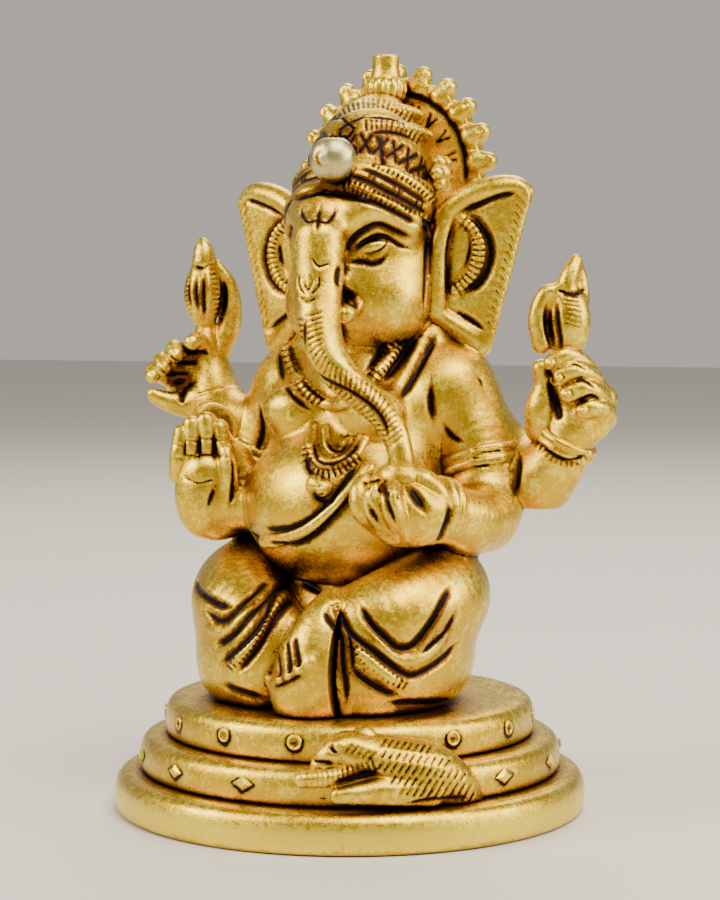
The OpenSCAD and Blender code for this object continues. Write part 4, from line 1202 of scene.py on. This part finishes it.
for spot in [(4.2, 53.7), (7.5, 52.7)]:
    nail(spot, "open_hand", 0.95)
for spot in [(-26.6, 77.7), (-29.1, 75.6), (-31.2, 73.6), (-33.0, 72.0)]:
    nail(spot, "rear_right_fist", 0.7, 0.38, 0.35)
for spot in [(33.8, 74.2), (35.0, 71.8), (36.5, 69.1), (39.2, 66.4)]:
    nail(spot, "rear_left_fist", 0.8, 0.4, 0.4)

# %% Fists and emblems
cut_lines("rear_left_fist", [
    (0.6, 0.6, (35.2, 73.0), (37.7, 74.3), (40.5, 72.8)),
    (0.6, 0.6, (36.4, 70.5), (39.0, 71.6), (42.2, 69.5)),
    (0.6, 0.6, (37.7, 67.8), (40.6, 68.8), (43.1, 67.4)),
    (0.9, 0.9, (33.5, 72.8), (34.0, 69.5), (35.0, 65.6)),
])
cut_lines("rear_right_fist", [
    (0.7, 0.7, (-24.2, 76.1), (-25.4, 76.1), (-26.8, 76.3), (-27.8, 77.2)),
    (0.7, 0.7, (-26.1, 74.5), (-27.8, 74.5), (-29.1, 74.6), (-30.1, 75.5)),
    (0.7, 0.7, (-27.4, 72.6), (-29.1, 72.6), (-30.6, 72.5), (-31.8, 73.1)),
    (1.2, 1.1, (-26.4, 72.8), (-27.8, 71.6), (-29.6, 71.0), (-31.8, 70.8)),
    (0.8, 0.8, (-28.1, 68.1), (-28.0, 69.5), (-26.8, 70.8)),
])
cut_lines("rear_left_arm", [
    (0.6, 0.6, (30.7, 61.9), (33.9, 59.2), (37.1, 58.0), (40.3, 59.4), (41.9, 60.5)),
])
cut_lines("goad", [
    (0.6, 0.55, (-25.2, 89.8), (-25.7, 86.2), (-25.1, 81.8)),
    (0.6, 0.6, (-24.2, 90.2), (-24.4, 86.2), (-24.2, 80.5)),
    (0.5, 0.5, (-26.4, 89.5), (-27.0, 86.2), (-26.2, 82.5)),
    (0.9, 0.8, (-21.3, 89.5), (-21.0, 85.5), (-21.5, 81.2)),
    (0.6, 0.6, (-26.4, 90.7), (-24.5, 90.2), (-22.7, 91.0)),
])
cut_lines("conch", [
    (0.9, 0.9, (32.9, 84.8), (33.1, 80.7), (34.0, 76.5)),
    (0.6, 0.6, (34.4, 85.7), (34.8, 81.2), (35.5, 76.1)),
    (0.6, 0.6, (35.1, 86.5), (37.1, 85.8), (39.1, 86.5)),
    (0.4, 0.4, (31.6, 84.8), (31.5, 81.2), (32.3, 76.8)),
])
cut_ribs([(36.9, 85.5), (37.3, 83.2), (37.3, 80.7)], "conch", 2.4, 0.8, 0.35, 0.3, 0.3)
cut_ribs([(-23.1, 90.8), (-22.4, 87.3), (-21.9, 81.7)], "goad", 1.0, 0.82, 0.34, 0.34)
cut_ribs([(-27.3, 88.8), (-27.7, 85.7), (-26.9, 82.5)], "goad", 1.0, 0.82, 0.34, 0.34)
cut_ribs([(30.7, 61.4), (33.9, 58.5), (37.1, 57.4), (40.3, 58.7), (41.8, 59.9)], "rear_left_arm",
         0.9, 0.9, 0.34, 0.3)
cut_ribs([(22.8, 60.2), (23.2, 56.4)], "left_armlet", 4.6, 0.8, 0.4, 0.35)

# %% Mouse
cut_lines("mouse", [
    (0.6, 0.5, (-8.5, 8.5), (-6.4, 7.2), (-3.4, 6.7)),
    (1.1, 1.0, (-4.7, 2.1), (-0.8, 3.6), (3.0, 4.8), (5.8, 4.4)),
    (0.5, 0.4, (7.8, -0.7), (13.5, 0.5), (21.0, 0.9)),
])
cut_lines("mouse_ear", [
    (0.6, 0.5, (0.3, 12.8), (3.7, 13.3), (6.8, 12.8)),
])
cut_ribs([(-7.4, 3.8), (-4.2, 4.1), (0.0, 4.8), (4.1, 6.0)], "mouse", 2.6, 0.9, 0.35, 0.32)
for row in ([(-0.2, 9.2), (3.7, 7.9)], [(5.8, 10.3), (13.5, 9.2)], [(5.8, 8.2), (16.6, 6.8)],
            [(5.1, 6.2), (19.3, 4.4)], [(7.4, 3.9), (20.3, 2.4)], [(8.8, 1.9), (20.7, 0.9)]):
    cut_ribs(row, "mouse", 1.3, 1.15, 0.42, 0.34, 0.5)
nail((-2.0, 9.9), "mouse", 1.2, 0.6, 0.5)

# %% Where the base carries rings and lozenges
STEP_TURN = 24
MOUSE_FROM, MOUSE_TO = 13, 57


def spots_round(radius, height, degrees):
    """One point at each turn round the axis."""
    turns = [math.radians(turn) for turn in degrees]
    return [[(radius * math.sin(t), -radius * math.cos(t), height)] for t in turns]


top_low, top_high = node_box("base_top_step")
mid_low, mid_high = node_box("base_middle_step")
RING_SPOTS = spots_round(top_high[0] - 0.05, (top_low[2] + top_high[2]) / 2 + 0.2,
                         [a for a in range(-157, 203, STEP_TURN) if not MOUSE_FROM < a < MOUSE_TO])
LOZENGE_SPOTS = spots_round(mid_high[0] + 0.02, (mid_low[2] + mid_high[2]) / 2 + 0.1,
                            [a for a in range(-145, 215, STEP_TURN)
                             if not MOUSE_FROM - 2 < a < MOUSE_TO + 4])


def stain(points, width, depth):
    """Patina in a fine cut that is too small for the clay."""
    cells, d = near_path(points, width * 1.6 + CELL, False)
    dirt = depth * np.exp(-((d / (width * 0.6)) ** 2))
    stained[cells] = np.maximum(stained[cells], dirt)
    grimy[cells] = np.maximum(grimy[cells], dirt)


def flat_loop(spot, shape):
    """A closed line round a spot of the base, from (sideways, up) corners."""
    centre = np.array(spot)
    out = np.array([centre[0], centre[1], 0]) / math.hypot(centre[0], centre[1])
    side = np.cross([0, 0, 1.0], out)
    return [centre + side * a + np.array([0, 0, 1.0]) * b for a, b in shape]


round_shape = [(1.42 * math.cos(t), 1.42 * math.sin(t)) for t in np.linspace(0, 2 * math.pi, 17)]
lozenge_shape = [(2.15, 0), (0, 1.4), (-2.15, 0), (0, -1.4), (2.15, 0)]
for (spot,) in RING_SPOTS:
    stain(flat_loop(spot, round_shape), 0.7, 1.0)
    stain(flat_loop(spot, [(0.3, 0), (-0.3, 0)]), 0.8, 0.8)
for (spot,) in LOZENGE_SPOTS:
    stain(flat_loop(spot, lozenge_shape), 0.65, 1.0)
print(len(RING_SPOTS), "rings and", len(LOZENGE_SPOTS), "lozenges placed")

# %% [markdown]
# ## From clay to metal
# Each piece is taken out of the block by comparing its own lump with all others. Where a
# neighbour is nearer, the piece sinks a little under it and then ends, so the pieces overlap
# slightly as joined wax does. Dividing the mesh this way leaves no gap or open edge.

# %% Nearest and second nearest lump in each cell
first = np.full(tuple(COUNT), FAR, np.float32)
second = np.full(tuple(COUNT), FAR, np.float32)
first[BASE_CELLS] = np.minimum(first[BASE_CELLS], BASE)
for lump in LUMPS.values():
    a, b = first[lump.cells], second[lump.cells]
    second[lump.cells] = np.minimum(b, np.maximum(a, lump.field))
    first[lump.cells] = np.minimum(a, lump.field)


def blurred(grid, passes):
    """A soft blur of a grid by a few passes of a small kernel along each axis."""
    for _ in range(passes):
        for axis in range(3):
            g = np.moveaxis(grid, axis, 0)
            g[1:-1] = 0.25 * g[:-2] + 0.5 * g[1:-1] + 0.25 * g[2:]
    return grid


STEP = 3


def coarser(grid):
    """The mean of each block of cells, a few cells each way."""
    trim = [c // STEP for c in COUNT]
    whole = grid[tuple(slice(0, t * STEP) for t in trim)]
    return whole.reshape([n for t in trim for n in (t, STEP)]).mean((1, 3, 5))


finer = (FINE_CELL / CELL) ** 2
metal = np.clip(0.5 - clay / CELL, 0, 1).astype(np.float32)
metal[BASE_CELLS] = np.maximum(metal[BASE_CELLS], np.clip(0.5 - BASE / CELL, 0, 1))
# close and wide measure how enclosed the metal is; the colour uses them for patina and for painted
# shade.
close = blurred(metal.copy(), max(1, round(3 * finer)))
wide = blurred(coarser(metal), max(2, round(10 * finer)))
dirty = blurred(np.minimum(coarser(grimy) * 1.6, 1), 2 if CELL == FINE_CELL else 1)
print("hollows measured")


def paint_hollows(mesh, points):
    """Stores how hollow and how dirty the metal is at each point, for the patina and for the
    painted shade in hollows.
    """
    for name, grid, step in (("hollow", close, 1), ("shade", wide, STEP),
                             ("cut", stained, 1), ("grime", dirty, STEP)):
        g = (points - GRID_LOW) / (CELL * step) - (step - 1) / (2 * step)
        values = between_cells(grid, g)
        mesh.attributes.new(name, "FLOAT", "POINT").data.foreach_set("value",
                                                                     values.astype(np.float32))


def link(name, data):
    thing = bpy.data.objects.new(name, data)
    bpy.context.scene.collection.objects.link(thing)
    return thing


def new_piece(name, points, quads):
    mesh = bpy.data.meshes.new(name)
    mesh.vertices.add(len(points))
    mesh.vertices.foreach_set("co", (points * MM).astype(np.float32).ravel())
    mesh.loops.add(len(quads) * 4)
    mesh.loops.foreach_set("vertex_index", quads.astype(np.int32).ravel())
    mesh.polygons.add(len(quads))
    mesh.polygons.foreach_set("loop_start", np.arange(0, len(quads) * 4, 4, dtype=np.int32))
    mesh.update(calc_edges=True)
    mesh.validate()
    mesh.shade_smooth()
    return link(name, mesh)


def without_crumbs(points, quads):
    """Keeps the shells that are big enough to see, by spreading labels along faces."""
    label = np.arange(len(points))
    while True:
        low = label[quads].min(1)
        new = label.copy()
        for k in range(4):
            np.minimum.at(new, quads[:, k], low)
        new = new[new]
        if np.array_equal(new, label):
            break
        label = new
    names, count = np.unique(label[quads[:, 0]], return_counts=True)
    keep = np.isin(label[quads[:, 0]], names[count >= FEWEST_FACES])
    quads = quads[keep]
    used = np.unique(quads)
    new_index = np.full(len(points), -1)
    new_index[used] = np.arange(len(used))
    return points[used], new_index[quads]


def thin_out(piece, ratio):
    """Fewer faces on a large plain piece; returns its new points in drawn millimetres."""
    thin = piece.modifiers.new("thin", "DECIMATE")
    thin.ratio = ratio
    graph = bpy.context.evaluated_depsgraph_get()
    thinner = bpy.data.meshes.new_from_object(piece.evaluated_get(graph), depsgraph=graph)
    piece.modifiers.remove(thin)
    thicker, piece.data = piece.data, thinner
    bpy.data.meshes.remove(thicker)
    places = np.empty(len(thinner.vertices) * 3, np.float32)
    thinner.vertices.foreach_get("co", places)
    return places.reshape(-1, 3) / MM


FEWEST_FACES = 12
MOST_FACES = 180000
OVERLAP = 0.35
SLOT_OF = {"crown_boss": "pearl_brass"}
for node in ("crown_band", "crown_cap", "finial", "halo", "right_crown_flower",
             "left_crown_flower"):
    SLOT_OF[node] = "crown_brass"
for node in ("sash", "necklace", "pendant", "goad", "conch", "sweet", "right_armlet", "left_armlet",
             "open_hand_bangle", "rear_right_bangle", "rear_left_bangle", "waist_cloth"):
    SLOT_OF[node] = "ornament_brass"

PIECES = {}
for node, lump in LUMPS.items():
    a, b, own = first[lump.cells], second[lump.cells], lump.field
    others = np.where(own <= a + 1e-5, b, a)
    lead = own - others
    skin = np.maximum(clay[lump.cells] + 0.6 * np.maximum(lead, 0), lead - OVERLAP)
    skin[[0, -1]] = skin[:, [0, -1]] = skin[:, :, [0, -1]] = 3
    grid = openvdb.FloatGrid(background=3.0)
    grid.copyFromArray(np.clip(skin, -3, 3).astype(np.float32))
    points, quads = grid.convertToQuads(isovalue=0.0)
    points, quads = without_crumbs(points, quads)
    start = np.array([s.start for s in lump.cells])
    points = GRID_LOW + (points + start) * CELL
    piece = new_piece("cast_" + node, points, quads)
    if 2 * len(quads) > MOST_FACES:
        points = thin_out(piece, MOST_FACES / (2 * len(quads)))
    paint_hollows(piece.data, points)
    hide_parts(node)
    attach(piece, "root")
    PIECES[node] = piece
    print(node, sum(len(face.vertices) - 2 for face in piece.data.polygons), "triangles")

# %% The turned steps
BASE_PIECES = {}
HOLLOW = 25.0
TURNS = 720
for node in STEPS:
    low, high = node_box(node)
    outline = step_outline(node)
    inner = 0.0 if node == "base_top_step" else HOLLOW
    floor_line = np.linspace(inner, outline[0, 0], 12)[:-1]
    roof_line = np.linspace(outline[-1, 0], inner, 30)[1:]
    section = np.vstack([[(r, low[2]) for r in floor_line], outline,
                         [(r, high[2]) for r in roof_line]])
    if inner == 0.0:
        section = section[1:-1]
    n = len(section)
    angle = np.linspace(0, 2 * math.pi, TURNS, endpoint=False)
    pts = np.stack([np.outer(np.sin(angle), section[:, 0]), -np.outer(np.cos(angle), section[:, 0]),
                    np.tile(section[:, 1], (TURNS, 1))], 2).reshape(-1, 3)
    i, k = np.meshgrid(np.arange(TURNS), np.arange(n - 1 if inner == 0.0 else n), indexing="ij")
    j, k2 = (i + 1) % TURNS, (k + 1) % n
    faces = np.stack([i * n + k, j * n + k, j * n + k2, i * n + k2], 2).reshape(-1, 4).tolist()
    if inner == 0.0:
        pts = np.vstack([pts, [[0, 0, low[2]], [0, 0, high[2]]]])
        for a in range(TURNS):
            b = (a + 1) % TURNS
            faces.append((a * n, TURNS * n, b * n))
            faces.append((a * n + n - 1, b * n + n - 1, TURNS * n + 1))
    mesh = bpy.data.meshes.new("turned_" + node)
    mesh.from_pydata((pts * MM).tolist(), [], faces)
    mesh.update()
    mesh.shade_smooth()
    piece = link("turned_" + node, mesh)
    paint_hollows(mesh, pts)
    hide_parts(node)
    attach(piece, "root")
    BASE_PIECES[node] = piece

# %% [markdown]
# ## Aged brass
# The metal is polished on the high places and keeps brown and black patina in its cuts and
# creases; the brown and black in the broad hollows is painted shade. The hollows were measured
# from the clay, so the colour follows the shape from any side.

# %% The metal
# Honey, amber and black are patina colours that also paint the shade in broad hollows.
PITTED, HONEY = (0.26, 0.115, 0.008), (0.52, 0.30, 0.010)
AMBER, BLACK = (0.135, 0.048, 0.006), (0.009, 0.006, 0.006)


def brass(name, gold=(0.66, 0.41, 0.010), pale=(0.88, 0.68, 0.055), rough=0.27):
    """Polished on the ridges, brown round the cuts and black inside them, with painted shade in
    brown and black in the hollows.
    """
    metal_mat = bpy.data.materials.new(name)
    metal_mat.use_nodes = True
    nodes, links = metal_mat.node_tree.nodes, metal_mat.node_tree.links
    shader = nodes["Principled BSDF"]
    shader.inputs["Metallic"].default_value = 1.0
    place = nodes.new("ShaderNodeTexCoord")

    def noise(scale, detail=4.0, roughness=0.6):
        node = nodes.new("ShaderNodeTexNoise")
        node.inputs["Scale"].default_value = scale / MM
        node.inputs["Detail"].default_value = detail
        node.inputs["Roughness"].default_value = roughness
        links.new(place.outputs["Object"], node.inputs["Vector"])
        return node.outputs["Fac"]

    def number(kind, *values):
        node = nodes.new("ShaderNodeMath")
        node.operation = kind
        for socket, v in zip(node.inputs, values):
            if isinstance(v, (int, float)):
                socket.default_value = v
            else:
                links.new(v, socket)
        return node.outputs[0]

    def swayed(value, sway, strength):
        """A value moved up where another is over a half, and down where it is under."""
        return number("MULTIPLY_ADD", number("SUBTRACT", sway, 0.5), strength, value)

    def attribute(label):
        node = nodes.new("ShaderNodeAttribute")
        node.attribute_name = label
        return node.outputs["Fac"]

    def step_up(value, low, high):
        node = nodes.new("ShaderNodeMapRange")
        node.interpolation_type = "SMOOTHSTEP"
        node.inputs["From Min"].default_value = low
        node.inputs["From Max"].default_value = high
        links.new(value, node.inputs["Value"])
        return node.outputs["Result"]

    def blend_colour(factor, a, b):
        node = nodes.new("ShaderNodeMix")
        node.data_type = "RGBA"
        links.new(factor, node.inputs[0])
        for socket, v in ((6, a), (7, b)):
            if isinstance(v, tuple):
                node.inputs[socket].default_value = (*v, 1)
            else:
                links.new(v, node.inputs[socket])
        return node.outputs[2]

    hollow, shade, cut, grime = (attribute(name) for name in ("hollow", "shade", "cut", "grime"))
    grain, speck, cloud = noise(1.1, 5, 0.65), noise(3.2, 3), noise(0.22, 2)
    # The brown and black masks below mix patina in cuts and creases with painted shade in broad
    # hollows.
    deep = swayed(number("MULTIPLY", cut, 0.55), hollow, 1.6)
    deep = swayed(deep, shade, 1.7)
    deep = number("MULTIPLY_ADD", grime, 1.1, deep)
    rust_and_shade = swayed(deep, grain, 0.95)
    rust_and_shade = swayed(rust_and_shade, speck, 0.75)
    soot_and_shade = swayed(cut, grain, 0.6)
    soot_and_shade = swayed(soot_and_shade, hollow, 1.5)
    soot_and_shade = swayed(soot_and_shade, shade, 1.0)
    worn = swayed(number("SUBTRACT", 0.5, hollow), cloud, 0.5)
    worn = swayed(worn, grain, 0.7)
    ridge_light = step_up(worn, -0.02, 0.16)
    worked = swayed(deep, grain, 0.5)
    # Honey, amber and black masks: patina in the cuts, painted shade where hollow and shade are
    # high.
    honey, amber = step_up(worked, 0.04, 0.32), step_up(rust_and_shade, 0.30, 0.56)
    black = step_up(soot_and_shade, 0.50, 0.72)
    colour = blend_colour(ridge_light, gold, pale)
    pitted = step_up(noise(1.7, 5, 0.75), 0.62, 0.72)
    bare = number("MULTIPLY_ADD", ridge_light, -0.55, 0.8)
    colour = blend_colour(number("MULTIPLY", pitted, bare), colour, PITTED)
    colour = blend_colour(honey, colour, HONEY)
    colour = blend_colour(amber, colour, AMBER)
    colour = blend_colour(black, colour, BLACK)
    links.new(colour, shader.inputs["Base Color"])
    roughness = swayed(rough, grain, 0.40)
    roughness = number("MULTIPLY_ADD", amber, 0.14, roughness)
    roughness = number("MULTIPLY_ADD", black, -0.16, roughness)
    links.new(roughness, shader.inputs["Roughness"])
    pits = noise(3.0, 6, 0.7)
    bump = nodes.new("ShaderNodeBump")
    bump.inputs["Strength"].default_value = 0.55
    bump.inputs["Distance"].default_value = 0.12 * MM
    links.new(number("ADD", number("MULTIPLY", pits, 1.0), number("MULTIPLY", grain, 0.6)),
              bump.inputs["Height"])
    links.new(bump.outputs["Normal"], shader.inputs["Normal"])
    return metal_mat


FINISH = {name: brass(name)
          for name in ("figure_brass", "ornament_brass", "crown_brass", "base_brass")}
FINISH["pearl_brass"] = brass("pearl_brass", (0.52, 0.45, 0.19), (0.70, 0.63, 0.34), 0.25)
for node, piece in PIECES.items():
    piece.data.materials.append(FINISH[SLOT_OF.get(node, "figure_brass")])
for piece in BASE_PIECES.values():
    piece.data.materials.append(FINISH["base_brass"])

# %% [markdown]
# ## Beads, rings and lozenges
# The base carries a row of small raised rings and a row of lozenges, and the crown has rows of
# beads. They repeat along circles, so one Geometry Nodes tree sets a small shape at even
# steps on a path and turns it to face outwards. The path carries the outward direction.

# %% One tree for what repeats
SHAPES = {}


def repeat_tree(kind):
    """A node tree that sets a bead, a ring or a lozenge at even steps on a path."""
    tree = bpy.data.node_groups.new("set_" + kind, "GeometryNodeTree")
    face = tree.interface
    for label, sort in (("Path", "NodeSocketGeometry"), ("Gap", "NodeSocketFloat"),
                        ("Size", "NodeSocketVector"),
                        ("Wobble", "NodeSocketFloat"), ("Seed", "NodeSocketInt"),
                        ("Metal", "NodeSocketMaterial")):
        face.new_socket(label, in_out="INPUT", socket_type=sort)
    face.new_socket("Geometry", in_out="OUTPUT", socket_type="NodeSocketGeometry")
    nodes, links = tree.nodes, tree.links

    def add(sort, values=(), **settings):
        """A node with its own settings and the values or links of its inputs."""
        made = nodes.new(sort)
        for label, value in settings.items():
            setattr(made, label, value)
        for label, value in dict(values).items():
            if isinstance(value, bpy.types.NodeSocket):
                links.new(value, made.inputs[label])
            else:
                made.inputs[label].default_value = value
        return made

    given = nodes.new("NodeGroupInput").outputs
    if kind == "bead":
        line = add("GeometryNodeMeshToCurve", {0: given["Path"]})
        even = add("GeometryNodeResampleCurve",
                   {"Curve": line.outputs[0], "Length": given["Gap"]}, mode="LENGTH")
        spots = even.outputs[0]
        along = add("GeometryNodeInputTangent")
        shape = add("GeometryNodeMeshIcoSphere", {"Radius": 1.0, "Subdivisions": 2})
    else:
        spots = given["Path"]
        along = add("GeometryNodeInputNamedAttribute", {"Name": "sideways"},
                    data_type="FLOAT_VECTOR")
    if kind == "ring":
        loop, wire = (add("GeometryNodeCurvePrimitiveCircle", {"Resolution": count,
                                                               "Radius": radius})
                      for count, radius in ((20, 0.8), (8, 0.24)))
        shape = add("GeometryNodeCurveToMesh", {"Curve": loop.outputs["Curve"],
                                                "Profile Curve": wire.outputs["Curve"]})
    elif kind == "lozenge":
        shape = add("GeometryNodeMeshCone", {"Vertices": 4, "Radius Top": 0.55,
                                             "Radius Bottom": 1.1, "Depth": 1.0})
    out = add("GeometryNodeInputNamedAttribute", {"Name": "outward"}, data_type="FLOAT_VECTOR")
    upright = add("FunctionNodeAlignRotationToVector", {"Vector": out.outputs[0]}, axis="Z")
    turned = add("FunctionNodeAlignRotationToVector",
                 {"Rotation": upright.outputs[0], "Vector": along.outputs[0]},
                 axis="X", pivot_axis="Z")
    low, high = (add("ShaderNodeMath", {0: 1.0, 1: given["Wobble"]}, operation=operation).outputs[0]
                 for operation in ("SUBTRACT", "ADD"))
    chance = add("FunctionNodeRandomValue", {2: low, 3: high, "Seed": given["Seed"]},
                 data_type="FLOAT")
    grown = add("ShaderNodeVectorMath", {0: given["Size"], "Scale": chance.outputs[1]},
                operation="SCALE")
    place = add("GeometryNodeInstanceOnPoints",
                {"Points": spots, "Instance": shape.outputs[0],
                 "Rotation": turned.outputs[0], "Scale": grown.outputs[0]})
    real = add("GeometryNodeRealizeInstances", {0: place.outputs[0]})
    smooth = add("GeometryNodeSetShadeSmooth",
                 {0: real.outputs[0], "Shade Smooth": kind != "lozenge"})
    coat = add("GeometryNodeSetMaterial", {"Geometry": smooth.outputs[0],
                                           "Material": given["Metal"]})
    links.new(coat.outputs[0], nodes.new("NodeGroupOutput").inputs[0])
    return tree


def set_along(name, kind, paths, outward, gap, size, finish, wobble=0.08, seed=3):
    """Sets a shape along drawn paths and turns the result into a plain mesh piece."""
    tree = SHAPES.get(kind) or SHAPES.setdefault(kind, repeat_tree(kind))
    points, edges = [], []
    for path in paths:
        first_point = len(points)
        points += [tuple(q) for q in path]
        edges += [(first_point + k, first_point + k + 1) for k in range(len(path) - 1)]
    guide = bpy.data.meshes.new(name + "_path")
    guide.from_pydata([tuple(np.array(q) * MM) for q in points], edges, [])
    ways = np.array([outward(np.array(q)) for q in points], np.float32)
    for label, vectors in (("outward", ways), ("sideways", np.cross(UP, ways).astype(np.float32))):
        stored = guide.attributes.new(label, "FLOAT_VECTOR", "POINT")
        stored.data.foreach_set("vector", vectors.ravel())
    holder = link(name + "_path", guide)
    layer = holder.modifiers.new("set", "NODES")
    layer.node_group = tree
    values = {"Gap": gap * MM, "Size": [v * MM for v in size], "Wobble": wobble, "Seed": seed,
              "Metal": FINISH[finish]}
    for socket in tree.interface.items_tree:
        if socket.in_out == "INPUT" and socket.name in values:
            layer[socket.identifier] = values[socket.name]
    shown = holder.evaluated_get(bpy.context.evaluated_depsgraph_get())
    mesh = bpy.data.meshes.new_from_object(shown)
    mesh.name = name
    holder.modifiers.remove(layer)
    bpy.data.objects.remove(holder)
    piece = link(name, mesh)
    places = np.zeros(len(mesh.vertices) * 3, np.float32)
    mesh.vertices.foreach_get("co", places)
    paint_hollows(mesh, places.reshape(-1, 3) / MM)
    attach(piece, "root")
    print(name, len(mesh.polygons), "faces")
    return piece


def from_axis(point):
    flat = np.array([point[0], point[1], 0.0])
    return flat / np.linalg.norm(flat)


# %% Rings and lozenges of the base
set_along("base_rings", "ring", RING_SPOTS, from_axis, 5.0, (1.15, 1.15, 1.0), "base_brass")
set_along("base_lozenges", "lozenge", LOZENGE_SPOTS, from_axis, 5.0, (1.75, 1.05, 0.42),
          "base_brass")

# %% Beads of the crown
for number_of_row, (height, radius, back, thick) in enumerate(TIERS):
    ring = [((radius + thick * 0.75) * math.sin(t), back - (radius + thick * 0.75) * math.cos(t),
             height - 0.10 * radius * (1 - math.cos(t))) for t in np.linspace(-1.9, 1.9, 90)]
    set_along(f"crown_beads_{number_of_row + 1}", "bead", [ring],
              lambda q, b=back: np.array([q[0], q[1] - b, 0.0]) / max(math.hypot(q[0], q[1] - b),
                                                                      1e-6),
              1.0, (0.46, 0.46, 0.42), "crown_brass", 0.12, 5 + number_of_row)

# %% [markdown]
# ## The table, the light and the camera
# A pale floor, one large window light from the left and a softer one from the right give the
# metal broad soft highlights. The camera stands where the engraver's eye stood.

# %% Floor, lights, camera
bpy.ops.mesh.primitive_plane_add(size=6)
floor = bpy.context.object
floor.name = "pale_floor"
paper = bpy.data.materials.new("pale_floor")
paper.use_nodes = True
look = paper.node_tree.nodes["Principled BSDF"].inputs
look["Base Color"].default_value = (0.62, 0.60, 0.57, 1)
look["Roughness"].default_value = 0.6
floor.data.materials.append(paper)

world = bpy.data.worlds.new("studio")
bpy.context.scene.world = world
world.use_nodes = True
glow = world.node_tree.nodes["Background"].inputs
glow["Color"].default_value = (0.80, 0.755, 0.67, 1)
glow["Strength"].default_value = 0.62


def aim(thing, target):
    away = np.array(thing.location) - np.array(target)
    flat = math.hypot(away[0], away[1])
    thing.rotation_euler = (math.atan2(flat, away[2]), 0, math.atan2(away[0], -away[1]))


def soft_light(name, place, power, size, tint=(1.0, 0.92, 0.78)):
    lamp = bpy.data.lights.new(name, "AREA")
    lamp.energy, lamp.size, lamp.color = power, size, tint
    holder = link(name, lamp)
    holder.location = place
    aim(holder, (0, 0, 0.06))


def beside(across, into, up):
    return tuple(ACROSS * across + INTO * into + UP * up)


soft_light("window_front", beside(0.3, -0.5, 0.95), 13.0, 0.6)
soft_light("window_left", beside(-0.75, -0.25, 0.5), 8.0, 0.4)
soft_light("fill_right", beside(0.7, -0.2, 0.35), 5.0, 0.35)
soft_light("top_back", beside(0.1, 0.55, 0.7), 5.0, 0.5)

camera = link("camera", bpy.data.cameras.new("camera"))
camera.location = tuple(EYE * MM)
camera.rotation_euler = (math.pi / 2 - EYE_DIP, 0, EYE_TURN)
camera.data.lens = 90.5
camera.data.clip_start = 0.01
bpy.context.scene.camera = camera
